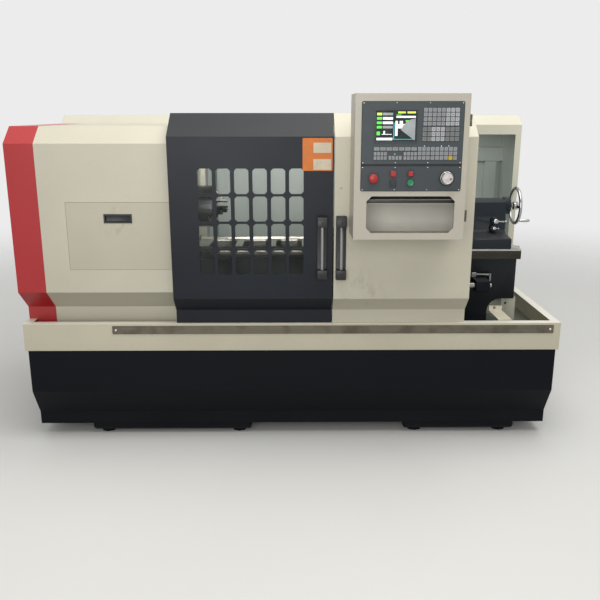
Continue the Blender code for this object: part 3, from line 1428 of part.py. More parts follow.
def build_control_front(carrier):
    """Build the hinged front of the control box, with the pocket's mouth, and the plates on it."""
    x0, x1 = BOX_SPAN
    z0, z1 = BOX_HEIGHTS
    back = BOX_FRONT + BOX_LID_DEPTH
    lid = add("control_front", block((x0, x1), (BOX_FRONT, back), (z0, z1)), "cream_paint", carrier)
    hollow = block(
        (x0 + THIN_SHEET, x1 - THIN_SHEET), (BOX_FRONT + THIN_SHEET, back + THROUGH),
        (z0 + THIN_SHEET, z1 - THIN_SHEET),
    )
    sheet = (BOX_FRONT - THROUGH, BOX_FRONT + THROUGH)
    (p0, p1), (q0, q1) = POCKET_SPAN, POCKET_HEIGHTS
    c = POCKET_CHAMFER
    pocket = prism(
        [
            (p0 + c, q0), (p1 - c, q0), (p1, q0 + c), (p1, q1 - c), (p1 - c, q1), (p0 + c, q1),
            (p0, q1 - c), (p0, q0 + c),
        ],
        sheet, "Y",
    )
    holes = [
        rod(stem + RETAINER + STEM_ROOM, sheet, world(x, 0.0, z), "Y", 8)
        for (x, z), stem in control_stems()
    ]
    cut(lid, hollow, pocket, merged(*holes))
    fuse(lid, *hinge_halves(1, back))
    build_panel(carrier)
    build_operator_plate(carrier)


def control_stems():
    """Return the place and stem radius of every operator control."""
    places = (
        ESTOP_PLACE, STOP_BUTTON_PLACE, LOCK_BUTTON_PLACE, OFF_BUTTON_PLACE, START_BUTTON_PLACE,
        KNOB_PLACE,
    )
    return [(place, BUTTON_STEM_RADIUS) for place in places]


def plate_faces():
    """Return the depths of the front and back faces of the plates on the control box."""
    back = BOX_FRONT - FIT
    return back - PANEL_THICKNESS, back


def build_panel(carrier):
    """Build the control panel with its bezel, the screen in it and the keypad over it."""
    front, back = plate_faces()
    panel = add(
        "control_panel", prism(span_rectangle(PANEL_SPAN, PANEL_HEIGHTS, 0.006, 2), (front, back), "Y"),
        "panel_grey", carrier,
    )
    (s0, s1), (t0, t1) = SCREEN_SPAN, SCREEN_HEIGHTS
    bezel = span_rectangle((s0 - BEZEL, s1 + BEZEL), (t0 - BEZEL, t1 + BEZEL), 0.004, 2)
    fuse(panel, prism(bezel, (front - BEZEL_PROUD, front + PANEL_THICKNESS / 2), "Y"))
    opening = block((s0 - FIT, s1 + FIT), (front - THROUGH, back + THROUGH), (t0 - FIT, t1 + FIT))
    cut(panel, opening)
    add("screen", block((s0, s1), (front - BEZEL_PROUD / 3, back), (t0, t1)), "screen", carrier)

    margin = KEYPAD_MARGIN
    mat_back = front - FIT
    mat_front = mat_back - MAT_THICKNESS
    mat = add(
        "keypad",
        prism(
            span_rectangle(
                (PANEL_SPAN[0] + margin, PANEL_SPAN[1] - margin),
                (PANEL_HEIGHTS[0] + margin, PANEL_HEIGHTS[1] - margin), 0.004, 2,
            ),
            (mat_front, mat_back), "Y",
        ),
        "panel_grey", carrier,
    )
    window = span_rectangle(
        (s0 - BEZEL - FIT, s1 + BEZEL + FIT), (t0 - BEZEL - FIT, t1 + BEZEL + FIT), 0.004, 2
    )
    cut(mat, prism(window, (mat_front - THROUGH, mat_back + THROUGH), "Y"))
    keys = []
    for (x0, x1), (z0, z1), columns, rows in KEY_FIELDS:
        wide = (x1 - x0 + KEY_GAP) / columns
        high = (z1 - z0 + KEY_GAP) / rows
        for column in range(columns):
            for row in range(rows):
                xs = (x0 + column * wide, x0 + (column + 1) * wide - KEY_GAP)
                zs = (z0 + row * high, z0 + (row + 1) * high - KEY_GAP)
                keys.append(key_cap(xs, zs, mat_front))
    fuse(mat, merged(*keys))


def key_cap(xs, zs, surface):
    """Return one key standing on the mat, a little narrower in front."""
    bm = prism(span_rectangle(xs, zs), (surface + MAT_THICKNESS / 2, surface - KEY_HEIGHT), "Y")
    middle_x = (xs[0] + xs[1]) / 2
    middle_z = (zs[0] + zs[1]) / 2
    front = Y_TRAY + surface - KEY_HEIGHT
    for vert in bm.verts:
        if abs(vert.co.y - front) < 1e-6:
            vert.co.x -= math.copysign(KEY_TAPER, vert.co.x - middle_x)
            vert.co.z -= math.copysign(KEY_TAPER, vert.co.z - middle_z)
    return bm


def build_operator_plate(carrier):
    """Build the plate behind the push buttons, with a collar round each control."""
    front, back = plate_faces()
    plate = add(
        "operator_plate",
        prism(span_rectangle(PANEL_SPAN, OPERATOR_HEIGHTS, 0.006, 2), (front, back), "Y"),
        "panel_grey", carrier,
    )
    inner = []
    for (x, z), outer, height in (
        (ESTOP_PLACE, ESTOP_NECK_RADIUS, ESTOP_COLLAR_HEIGHT),
        (OFF_BUTTON_PLACE, ROUND_BUTTON_RADIUS, COLLAR_HEIGHT),
        (START_BUTTON_PLACE, ROUND_BUTTON_RADIUS, COLLAR_HEIGHT),
    ):
        centre = world(x, 0.0, z)
        fuse(plate, rod(outer + COLLAR, (front - height, front + PANEL_THICKNESS / 2), centre, "Y", 16))
        inner.append(rod(outer + RUN, (front - height - THROUGH, front + FIT), centre, "Y", 16))
    for x, z in (STOP_BUTTON_PLACE, LOCK_BUTTON_PLACE):
        size = SQUARE_BUTTON + 2 * COLLAR
        frame = rectangle(size, size, (x, z), 0.002, 1)
        fuse(plate, prism(frame, (front - COLLAR_HEIGHT, front + PANEL_THICKNESS / 2), "Y"))
        size = SQUARE_BUTTON + 2 * RUN
        span = (front - COLLAR_HEIGHT - THROUGH, front + FIT)
        inner.append(prism(rectangle(size, size, (x, z)), span, "Y"))
    dial = rod(
        KNOB_RADIUS + 2 * COLLAR, (front - COLLAR / 2, front + PANEL_THICKNESS / 2),
        world(KNOB_PLACE[0], 0.0, KNOB_PLACE[1]), "Y", 20,
    )
    fuse(plate, dial)
    holes = [
        rod(stem + RUN, (front - THROUGH, back + THROUGH), world(x, 0.0, z), "Y", 10)
        for (x, z), stem in control_stems()
    ]
    cut(plate, merged(*inner), merged(*holes))


def stem_profile(start, back):
    """Return a stem's half section from the head inwards, with a collar behind the plate."""
    stem = BUTTON_STEM_RADIUS
    return [
        (start, stem), (back + RUN, stem), (back + RUN, stem + RETAINER),
        (back + RUN + COLLAR, stem + RETAINER), (back + RUN + COLLAR, 0.0),
    ]


def build_buttons(carriers):
    """Build the mushroom, the four push buttons and the fluted hand dial."""
    front, back = plate_faces()
    x, z = ESTOP_PLACE
    tip = front - ESTOP_REACH
    profile = [
        (tip, 0.0), (tip, ESTOP_RADIUS * 0.55), (tip + 0.002, ESTOP_RADIUS * 0.9),
        (tip + 0.005, ESTOP_RADIUS), (tip + 0.012, ESTOP_RADIUS), (tip + 0.014, ESTOP_NECK_RADIUS),
        (front - ESTOP_TRAVEL - RUN, ESTOP_NECK_RADIUS),
    ] + stem_profile(front - ESTOP_TRAVEL - RUN, back)
    add(
        "estop_button", turned(profile, world(x, 0.0, z), "Y", 16), "red_plastic",
        carriers["estop_button"], smooth=35,
    )
    for name, (x, z), finish in (
        ("off_button", OFF_BUTTON_PLACE, "red_plastic"),
        ("start_button", START_BUTTON_PLACE, "green_plastic"),
    ):
        tip = front - BUTTON_PROUD
        head_back = front - BUTTON_TRAVEL - RUN
        radius = ROUND_BUTTON_RADIUS
        profile = [
            (tip, 0.0), (tip, radius - 0.0015), (tip + 0.001, radius), (head_back, radius),
        ] + stem_profile(head_back, back)
        add(name, turned(profile, world(x, 0.0, z), "Y", 16), finish, carriers[name], smooth=35)
    for name, (x, z), finish in (
        ("stop_button", STOP_BUTTON_PLACE, "red_plastic"),
        ("lock_button", LOCK_BUTTON_PLACE, "black_plastic"),
    ):
        tip = front - BUTTON_PROUD
        head_back = front - BUTTON_TRAVEL - RUN
        head = prism(rectangle(SQUARE_BUTTON, SQUARE_BUTTON, (x, z)), (tip, head_back), "Y")
        made = add(name, head, finish, carriers[name])
        bevel(made, 0.001)
        stem = [(head_back - 0.001, 0.0), (head_back - 0.001, BUTTON_STEM_RADIUS)]
        fuse(made, turned(stem + stem_profile(head_back, back), world(x, 0.0, z), "Y", 10))
    x, z = KNOB_PLACE
    base = front - COLLAR / 2 - RUN
    tip = base - KNOB_LENGTH
    outline = []
    for k in range(KNOB_FLUTES):
        for share, drop in ((0.0, 0.0), (0.5, KNOB_FLUTE_DEPTH)):
            angle = 2 * math.pi * (k + share) / KNOB_FLUTES
            radius = KNOB_RADIUS - drop
            outline.append((x + radius * math.cos(angle), z + radius * math.sin(angle)))
    knob = add(
        "pulse_knob", prism(outline, (tip + COLLAR, base), "Y"), "black_plastic", carriers["pulse_knob"]
    )
    cap = [(tip, 0.0), (tip, KNOB_RADIUS - 0.005), (tip + 0.004, KNOB_RADIUS - 0.002), (tip + 0.004, 0.0)]
    stem = [(base - 0.002, 0.0), (base - 0.002, BUTTON_STEM_RADIUS)]
    centre = world(x, 0.0, z)
    fuse(knob, turned(cap, centre, "Y", 16), turned(stem + stem_profile(base, back), centre, "Y", 10))
    place = world(x + KNOB_RADIUS * 0.5, 0.0, z)
    dimple = rod(DIMPLE_RADIUS, (tip - THROUGH, tip + DIMPLE_DEPTH), place, "Y", 8)
    cut(knob, dimple)


def build_feed(carrier, screw_carrier):
    """Build the long feed screw, its motor at the left and its bracket at the right."""
    centre = world(0.0, D_SCREW, Z_SCREW)
    x0, x1 = SCREW_SPAN
    profile = [
        (x0, 0.0), (x0, SCREW_JOURNAL_RADIUS), (x0 + SCREW_NECK, SCREW_JOURNAL_RADIUS),
        (x0 + SCREW_NECK, SCREW_RADIUS), (BRACKET_SPAN[0] - RUN, SCREW_RADIUS),
        (BRACKET_SPAN[0] - RUN, SCREW_JOURNAL_RADIUS), (x1, SCREW_JOURNAL_RADIUS), (x1, 0.0),
    ]
    add("z_screw", turned(profile, centre, "X", 16), "steel", screw_carrier, smooth=35)
    bed_face = D_BED + WAY_FLANGE_OVERHANG - FIT
    size = SERVO_SIZE
    end = x0 - FIT
    flange = block(
        (end - SERVO_FLANGE, end), (D_SCREW - size / 2, bed_face), (Z_SCREW - size / 2, Z_SCREW + size / 2)
    )
    motor = add("z_motor", flange, "black_plastic", carrier)
    bevel(motor, 0.003)
    half = size * 0.45
    body = block(
        (end - SERVO_FLANGE - SERVO_LENGTH, end - SERVO_FLANGE / 2), (D_SCREW - half, D_SCREW + half),
        (Z_SCREW - half, Z_SCREW + half),
    )
    cap = block(
        (end - SERVO_FLANGE - SERVO_LENGTH - SERVO_CAP, end - SERVO_FLANGE - SERVO_LENGTH + THIN_SHEET),
        (D_SCREW - half * 0.75, D_SCREW + half * 0.75), (Z_SCREW - half * 0.75, Z_SCREW + half * 0.75),
    )
    fuse(motor, body, cap)
    half = BRACKET_SIZE / 2
    bracket = add(
        "screw_bracket", block(BRACKET_SPAN, (D_SCREW - half, bed_face), (Z_SCREW - half, Z_SCREW + half)),
        "dark_paint", carrier,
    )
    bevel(bracket, 0.004)
    bore = (BRACKET_SPAN[0] - THROUGH, BRACKET_SPAN[1] + THROUGH)
    cut(bracket, rod(SCREW_JOURNAL_RADIUS + RUN, bore, centre, "X", 16))


def guide_outline(gap):
    """Return the dovetail guide's section in X and height, grown by a gap."""
    half = GUIDE_WIDTH / 2 + gap
    slant = GUIDE_SLANT
    top = Z_SADDLE + GUIDE_HEIGHT + gap
    low = Z_SADDLE - THIN_SHEET
    return [
        (X_GUIDE - half + slant, low), (X_GUIDE + half - slant, low), (X_GUIDE + half, top),
        (X_GUIDE - half, top),
    ]


def build_carriage(carrier, slide_carrier, turret_carrier):
    """Build the saddle with its apron, the cross slide, and the turret on it."""
    (x0, x1), (b0, b1) = SADDLE_SPAN, SADDLE_BRIDGE_SPAN
    d0, d1 = D_BED - SADDLE_OVERHANG, D_BED + BED_WIDTH + SADDLE_OVERHANG
    e0, e1 = D_BED + SADDLE_WING, D_BED + BED_WIDTH - SADDLE_WING
    plan = [
        (x0, d0), (x1, d0), (x1, e0), (b1, e0), (b1, e1), (x1, e1), (x1, d1), (x0, d1), (x0, e1),
        (b0, e1), (b0, e0), (x0, e0),
    ]
    saddle = add(
        "saddle", prism(plan, (Z_WAYS - WAY_FLANGE_HEIGHT * 0.8, Z_SADDLE), "Z"), "dark_paint", carrier
    )
    bevel(saddle, 0.003)
    apron = block(
        APRON_SPAN, (D_BED - RUN - APRON_THICKNESS, D_BED - RUN), (Z_APRON_BOTTOM, Z_SADDLE - PLATE)
    )
    guide = prism(guide_outline(0.0), (d0 + THROUGH, d1 - THROUGH), "Y")
    fuse(saddle, apron, guide)
    seat_on_ways(saddle)
    bore = (APRON_SPAN[0] - THROUGH, APRON_SPAN[1] + THROUGH)
    cut(saddle, rod(SCREW_RADIUS + RUN, bore, world(0.0, D_SCREW, Z_SCREW), "X", 16))

    half = CROSS_SLIDE_WIDTH / 2
    slide = add(
        "cross_slide",
        block((X_GUIDE - half, X_GUIDE + half), CROSS_SLIDE_DEPTHS, (Z_SADDLE + RUN, Z_CROSS_SLIDE)),
        "steel", slide_carrier,
    )
    bevel(slide, 0.003)
    channel = (CROSS_SLIDE_DEPTHS[0] - THROUGH, CROSS_SLIDE_DEPTHS[1] + THROUGH)
    cut(slide, prism(guide_outline(RUN), channel, "Y"))

    back = d1 + FIT
    half = X_MOTOR_SIZE / 2
    z1 = Z_SADDLE - PLATE
    flange = block((X_GUIDE - half, X_GUIDE + half), (back, back + SERVO_FLANGE), (z1 - 2 * half, z1))
    motor = add("x_motor", flange, "black_plastic", carrier)
    bevel(motor, 0.003)
    body = block(
        (X_GUIDE - half * 0.9, X_GUIDE + half * 0.9), (back + SERVO_FLANGE / 2, back + X_MOTOR_LENGTH),
        (z1 - half * 1.9, z1 - half * 0.1),
    )
    fuse(motor, body)

    centre = world(X_GUIDE, TURRET_DEPTH, 0.0)
    low = Z_CROSS_SLIDE + FIT
    top = low + TURRET_BASE_HEIGHT
    base = [
        (low, 0.0), (low, TURRET_BASE_RADIUS), (top - 0.003, TURRET_BASE_RADIUS),
        (top, TURRET_BASE_RADIUS - 0.003), (top, 0.0),
    ]
    add("turret_base", turned(base, centre, "Z", 20), "steel", slide_carrier, smooth=35)
    build_turret(turret_carrier, centre, top + RUN)


def build_turret(carrier, centre, low):
    """Build the square turret head with a tool slot on each side and its clamping screws."""
    half = TURRET_SIZE / 2
    top = low + TURRET_HEIGHT
    head = add(
        "turret_head",
        prism(rectangle(TURRET_SIZE, TURRET_SIZE, (X_GUIDE, TURRET_DEPTH), 0.006, 2), (low, top), "Z"),
        "steel", carrier,
    )
    shelf = low + TURRET_HEIGHT * 0.28
    inner = half - TURRET_SLOT_DEPTH
    reach = half + THROUGH
    slots = []
    screws = []
    for a, b in ((1, 0), (0, 1), (-1, 0), (0, -1)):
        near, far = inner * (a + b), reach * (a + b)
        along = (-reach, reach)
        across = tuple(sorted((near, far)))
        xs = across if a else along
        depths = across if b else along
        slots.append(block(
            (X_GUIDE + xs[0], X_GUIDE + xs[1]), (TURRET_DEPTH + depths[0], TURRET_DEPTH + depths[1]),
            (shelf, shelf + TURRET_SLOT),
        ))
        for share in (-0.45, 0.0, 0.45):
            x = X_GUIDE + (a * (half - TURRET_SLOT_DEPTH / 2) if a else share * half)
            depth = TURRET_DEPTH + (b * (half - TURRET_SLOT_DEPTH / 2) if b else share * half)
            span = (top - THIN_SHEET, top + CLAMP_SCREW_PROUD)
            screws.append(rod(CLAMP_SCREW_RADIUS, span, world(x, depth, 0.0), "Z", 6))
    hub = [
        (top - THIN_SHEET, 0.0), (top - THIN_SHEET, half * 0.4), (top + CLAMP_SCREW_PROUD, half * 0.36),
        (top + CLAMP_SCREW_PROUD + 0.004, half * 0.3), (top + CLAMP_SCREW_PROUD + 0.004, 0.0),
    ]
    for slot in slots:
        cut(head, slot)
    fuse(head, merged(*screws), turned(hub, centre, "Z", 12))


def build_tailstock(carriers):
    """Build the tailstock with its quill, centre, handwheel, grip, clamp lever and quill lock."""
    centre = world(0.0, D_AXIS, Z_AXIS)
    x0, x1 = TAIL_SPAN
    d0, d1 = D_BED, D_BED + BED_WIDTH
    low = Z_WAYS - THIN_SHEET
    barrel_half = TAIL_BARREL_WIDTH / 2
    waist_half = TAIL_WAIST / 2
    base_half = TAIL_WIDTH / 2
    corner = TAIL_CORNER
    outline = [
        (d0, low), (d1, low), (d1, Z_TAIL_BASE - corner), (D_AXIS + base_half, Z_TAIL_BASE),
        (D_AXIS + waist_half, Z_TAIL_BASE + corner), (D_AXIS + barrel_half, TAIL_BARREL_BOTTOM),
        (D_AXIS + barrel_half, TAIL_TOP - corner), (D_AXIS + barrel_half - corner, TAIL_TOP),
        (D_AXIS - barrel_half + corner, TAIL_TOP), (D_AXIS - barrel_half, TAIL_TOP - corner),
        (D_AXIS - barrel_half, TAIL_BARREL_BOTTOM), (D_AXIS - waist_half, Z_TAIL_BASE + corner),
        (D_AXIS - base_half, Z_TAIL_BASE), (d0, Z_TAIL_BASE - corner),
    ]
    body = add("tailstock_body", prism(outline, (x0, x1)), "dark_paint", carriers["tailstock"])
    bevel(body, 0.004, 1, 50.0)
    cap = rod(TAIL_CAP_RADIUS, (x1 - PLATE, x1 + TAIL_CAP_LENGTH), centre, "X", 16)
    fuse(body, cap)
    pins = []
    for x, z in (LEVER_PLACE, LOCK_PLACE):
        span = (boss_face(), D_AXIS)
        fuse(body, rod(FITTING_BOSS_RADIUS, span, world(x, 0.0, z), "Y", 12))
        hole = (boss_face() - THROUGH, boss_face() + PIN_DEPTH)
        pins.append(rod(FITTING_PIN_RADIUS + RUN, hole, world(x, 0.0, z), "Y", 10))
    quill_end = QUILL_SPAN[1]
    cut(
        body,
        rod(QUILL_RADIUS + FIT, (x0 - THROUGH, quill_end + PLATE), centre, "X", 20),
        rod(WHEEL_SHAFT_RADIUS + RUN, (quill_end, x1 + 2 * TAIL_CAP_LENGTH), centre, "X", 14),
        merged(*pins),
    )
    seat_on_ways(body)

    q0 = QUILL_SPAN[0]
    shank = CENTRE_RADIUS - PLATE
    shank_end = q0 + CENTRE_SHANK
    quill = [
        (shank_end + FIT, 0.0), (shank_end + FIT, shank + FIT), (q0, shank + FIT),
        (q0, QUILL_RADIUS - PLATE), (q0 + PLATE, QUILL_RADIUS), (quill_end, QUILL_RADIUS),
        (quill_end, 0.0),
    ]
    add("quill", turned(quill, centre, "X", 20), "chrome", carriers["quill"], smooth=35)
    tip = q0 - FIT - CENTRE_BODY_LENGTH - CENTRE_RADIUS / math.tan(math.radians(CENTRE_TIP_ANGLE / 2))
    live = [
        (tip, 0.0), (q0 - FIT - CENTRE_BODY_LENGTH, CENTRE_RADIUS), (q0 - FIT, CENTRE_RADIUS),
        (q0 - FIT, shank), (shank_end, shank), (shank_end, 0.0),
    ]
    add("live_centre", turned(live, centre, "X", 18), "steel", carriers["quill"], smooth=35)
    build_handwheel(carriers["handwheel"], carriers["wheel_grip"], centre, quill_end + 2 * PLATE)
    build_levers(carriers)


def boss_face():
    """Return the depth of the flat faces that the clamp lever and the quill lock turn on."""
    return D_AXIS - TAIL_WIDTH / 2 - FITTING_BOSS_LENGTH


def grip_place():
    """Return the depth and height of the wheel grip's pin."""
    angle = math.radians(GRIP_ANGLE)
    return D_AXIS - WHEEL_RADIUS * math.cos(angle), Z_AXIS + WHEEL_RADIUS * math.sin(angle)


def build_handwheel(carrier, grip_carrier, centre, shaft_start):
    """Build the handwheel with two spokes, a hub and a shaft, and the turning grip on its pin."""
    ring = [
        (
            X_WHEEL + WHEEL_RIM_RADIUS * math.cos(2 * math.pi * k / WHEEL_RIM_SIDES),
            WHEEL_RADIUS + WHEEL_RIM_RADIUS * math.sin(2 * math.pi * k / WHEEL_RIM_SIDES),
        )
        for k in range(WHEEL_RIM_SIDES)
    ]
    wheel = add("handwheel", turned(ring, centre, "X", 24, True), "chrome", carrier, smooth=50)
    hub_start = X_WHEEL - WHEEL_HUB_LENGTH / 2
    hub_end = X_WHEEL + WHEEL_HUB_LENGTH / 2
    hub = [
        (shaft_start, 0.0), (shaft_start, WHEEL_SHAFT_RADIUS), (hub_start, WHEEL_SHAFT_RADIUS),
        (hub_start, WHEEL_HUB_RADIUS), (hub_end - 0.002, WHEEL_HUB_RADIUS),
        (hub_end, WHEEL_HUB_RADIUS - 0.002), (hub_end, 0.0),
    ]
    spoke = block(
        (X_WHEEL - SPOKE_THICKNESS / 2, X_WHEEL + SPOKE_THICKNESS / 2),
        (D_AXIS - WHEEL_RADIUS, D_AXIS + WHEEL_RADIUS), (Z_AXIS - SPOKE_WIDTH / 2, Z_AXIS + SPOKE_WIDTH / 2),
    )
    depth, z = grip_place()
    start = X_WHEEL + WHEEL_RIM_RADIUS + RUN
    place = world(0.0, depth, z)
    pin = rod(GRIP_PIN_RADIUS, (X_WHEEL, start + GRIP_LENGTH - 2 * PLATE), place, "X", 10)
    fuse(wheel, spoke, turned(hub, centre, "X", 12), pin)
    bore = GRIP_PIN_RADIUS + RUN
    end = start + GRIP_LENGTH
    grip = [
        (end - PLATE, 0.0), (end - PLATE, bore), (start, bore), (start, GRIP_RADIUS * 0.7),
        (start + GRIP_LENGTH * 0.3, GRIP_RADIUS), (end - GRIP_LENGTH * 0.3, GRIP_RADIUS),
        (end - 0.002, GRIP_RADIUS * 0.75), (end, GRIP_RADIUS * 0.5), (end, 0.0),
    ]
    add("wheel_grip", turned(grip, place, "X", 12), "chrome", grip_carrier, smooth=35)


def build_levers(carriers):
    """Build the tailstock's clamp lever and its quill lock on their pins."""
    face = boss_face() - RUN
    for name, (x, z), radius, reach in (
        ("clamp_lever", LEVER_PLACE, LEVER_HUB_RADIUS, LEVER_LENGTH),
        ("quill_lock", LOCK_PLACE, LOCK_RADIUS, LOCK_REACH),
    ):
        profile = [
            (face - radius, 0.0), (face - radius, radius * 0.8), (face - radius * 0.8, radius),
            (face, radius), (face, FITTING_PIN_RADIUS), (face + PIN_DEPTH - PLATE, FITTING_PIN_RADIUS),
            (face + PIN_DEPTH - PLATE, 0.0),
        ]
        hub = add(name, turned(profile, world(x, 0.0, z), "Y", 12), "chrome", carriers[name], smooth=35)
        arm_centre = world(0.0, face - radius / 2, z)
        end = x + reach
        arm = rod(radius * 0.35, (x, end), arm_centre, "X", 8)
        knob = rod(radius * 0.45, (end - reach * LEVER_KNOB_SHARE, end + PLATE), arm_centre, "X", 10)
        fuse(hub, arm, knob)


def build_fittings(carrier):
    """Build the lubrication fitting, the folded bracket and the end plate at the bed's right end."""
    face = D_BED + WAY_FLANGE_OVERHANG - FIT
    x0, x1 = PIPE_SPAN
    half = PIPE_BLOCK / 2
    body = block((x0, x0 + PIPE_BLOCK), (face - PIPE_BLOCK, face), (PIPE_Z - half, PIPE_Z + half))
    fitting = add("lube_fitting", body, "chrome", carrier)
    bevel(fitting, 0.002)
    depth = face - half
    pipe = rod(PIPE_RADIUS, (x0 + half, x1), world(0.0, depth, PIPE_Z), "X", 10)
    heights = (PIPE_Z - PIPE_DROP, PIPE_Z + PIPE_RADIUS * 1.25)
    elbow = rod(PIPE_RADIUS * 1.25, heights, world(x1, depth, 0.0), "Z", 10)
    fuse(fitting, pipe, elbow)

    (f0, f1), (g0, g1) = FOLD_SPAN, FOLD_DEPTHS
    floor = Z_TRAY_FLOOR + FIT
    outline = folded(
        [(g1, floor + FOLD_HEIGHT), (g1, floor + FOLD_HEIGHT * 0.64), (g0, floor)], -THIN_SHEET
    )
    bracket = add("tray_bracket", prism(outline, (f0, f1)), "cream_paint", carrier)
    under = block((f0 - THROUGH, f1 + THROUGH), (g0 - THROUGH, g1 + THROUGH), (floor - THROUGH, floor))
    hole = rod(
        FOLD_HOLE_RADIUS, (g1 - THROUGH, g1 + THROUGH),
        world(f0 + 0.35 * (f1 - f0), 0.0, floor + FOLD_HEIGHT * 0.82), "Y", 10,
    )
    cut(bracket, under, hole)

    (e0, e1), (h0, h1) = END_PLATE_SPAN, END_PLATE_DEPTHS
    plate = folded([(e0, h0), (e1, h0), (e1, h1)], PLATE)
    end = add("bed_end_plate", prism(plate, (floor, END_PLATE_TOP), "Z"), "grey_paint", carrier)
    hole = rod(
        END_PLATE_HOLE_RADIUS, (h0 - THROUGH, h0 + THROUGH),
        world(e0 + 0.3 * (e1 - e0), 0.0, END_PLATE_TOP - END_PLATE_HOLE_DROP), "Y", 10,
    )
    cut(end, hole)


def main():
    """Clear the scene and build every piece on its carrier."""
    for old in list(bpy.data.objects):
        bpy.data.objects.remove(old, do_unlink=True)
    bpy.context.scene.unit_settings.system = "METRIC"
    axis = world(X_NOSE, D_AXIS, Z_AXIS)
    frame = group("frame", (0.0, 0.0, 0.0))
    hatch = group("hatch", world(X_PULL, COVER_FRONT, Z_PULL), frame)
    spindle = group("spindle_group", axis, frame)
    shaft = group("motor_shaft", world(X_PULLEY, D_MOTOR, Z_MOTOR), frame)
    left = group("left_door_group", world(LEFT_DOOR_SPAN[0], DOOR_FRONT, Z_RIM), frame)
    right = group("right_door_group", world(RIGHT_DOOR_SPAN[0], DOOR_FRONT, Z_RIM), frame)
    front = group(
        "control_front_group",
        world(BOX_SPAN[1] + HINGE_RADIUS, BOX_FRONT + HINGE_RADIUS, BOX_HEIGHTS[0]), right,
    )
    screw = group("z_screw_group", world(0.0, D_SCREW, Z_SCREW), frame)
    carriage = group("carriage", world(X_GUIDE, D_AXIS, Z_WAYS), frame)
    slide = group("cross_slide_group", world(X_GUIDE, TURRET_DEPTH, Z_SADDLE), carriage)
    turret = group("turret_group", world(X_GUIDE, TURRET_DEPTH, Z_CROSS_SLIDE), slide)
    tailstock = group("tailstock", world(TAIL_SPAN[0], D_AXIS, Z_WAYS), frame)
    depth, height = grip_place()
    face = boss_face()
    tail = {
        "tailstock": tailstock,
        "quill": group("quill_group", world(QUILL_SPAN[0], D_AXIS, Z_AXIS), tailstock),
        "handwheel": group("handwheel_group", world(X_WHEEL, D_AXIS, Z_AXIS), tailstock),
        "clamp_lever": group("clamp_lever_group", world(LEVER_PLACE[0], face, LEVER_PLACE[1]), tailstock),
        "quill_lock": group("quill_lock_group", world(LOCK_PLACE[0], face, LOCK_PLACE[1]), tailstock),
    }
    tail["wheel_grip"] = group(
        "wheel_grip_group", world(X_WHEEL + WHEEL_RIM_RADIUS, depth, height), tail["handwheel"]
    )
    cabinet = group(
        "cabinet_door_group",
        world(CABINET_SPAN[1] + CABINET_LAP, TRAY_DEPTH + FIT + CABINET_DOOR_DEPTH, CABINET_HEIGHTS[0]),
        frame,
    )
    plate = plate_faces()[0]
    buttons = {
        name: group(f"{name}_group", world(x, plate, z), front)
        for name, (x, z) in (
            ("estop_button", ESTOP_PLACE), ("stop_button", STOP_BUTTON_PLACE),
            ("lock_button", LOCK_BUTTON_PLACE), ("off_button", OFF_BUTTON_PLACE),
            ("start_button", START_BUTTON_PLACE), ("pulse_knob", KNOB_PLACE),
        )
    }

    build_base(frame)
    build_bed(frame)
    build_headstock(frame)
    build_spindle(spindle)
    for index in range(JAWS):
        build_jaw(index, group(f"jaw_{index + 1}_group", axis, spindle))
    build_motor_drive(frame, shaft)
    build_covers(frame)
    build_hatch(hatch)
    build_guard(frame)
    build_cabinet(frame, cabinet)
    build_left_door(left)
    build_right_door(right)
    build_control_box(right)
    build_control_front(front)
    build_buttons(buttons)
    build_feed(frame, screw)
    build_carriage(carriage, slide, turret)
    build_tailstock(tail)
    build_fittings(frame)


main()
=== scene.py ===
"""Looks of the CNC turning lathe: its finishes, detailed pieces, soft light and camera.

Metres, +Z up, the operator's side towards -Y. A piece takes its place from the solid that it covers.
"""
from __future__ import annotations

import logging
import math
from dataclasses import dataclass
from enum import Enum
from typing import Callable, Optional, Sequence, Union

import bmesh
import bpy
from mathutils import Matrix, Vector


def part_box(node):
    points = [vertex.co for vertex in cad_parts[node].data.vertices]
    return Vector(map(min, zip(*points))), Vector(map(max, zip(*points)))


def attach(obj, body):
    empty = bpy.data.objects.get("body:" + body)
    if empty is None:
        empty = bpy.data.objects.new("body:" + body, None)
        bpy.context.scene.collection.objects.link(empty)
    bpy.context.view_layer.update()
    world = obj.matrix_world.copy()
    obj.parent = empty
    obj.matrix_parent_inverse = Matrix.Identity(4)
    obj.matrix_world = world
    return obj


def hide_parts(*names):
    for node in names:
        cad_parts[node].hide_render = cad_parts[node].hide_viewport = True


LOG = logging.getLogger("lathe")
Colour = tuple[float, float, float]
Spot = Union[Vector, tuple[float, float, float]]
Test = Callable[[Vector, Vector], bool]
Stations = Sequence[tuple[float, float]]
Socket = bpy.types.NodeSocket

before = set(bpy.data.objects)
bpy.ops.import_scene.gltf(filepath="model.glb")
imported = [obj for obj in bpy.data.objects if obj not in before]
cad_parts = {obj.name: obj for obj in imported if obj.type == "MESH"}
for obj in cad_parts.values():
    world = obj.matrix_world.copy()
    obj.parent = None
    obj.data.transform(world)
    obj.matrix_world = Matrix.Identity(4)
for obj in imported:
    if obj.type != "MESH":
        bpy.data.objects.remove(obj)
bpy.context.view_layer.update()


def tone(red: int, green: int, blue: int) -> Colour:
    """Return a colour given in screen values as the linear one that shaders take."""
    return tuple(
        value / 255 / 12.92 if value < 11 else ((value / 255 + 0.055) / 1.055) ** 2.4
        for value in (red, green, blue)
    )


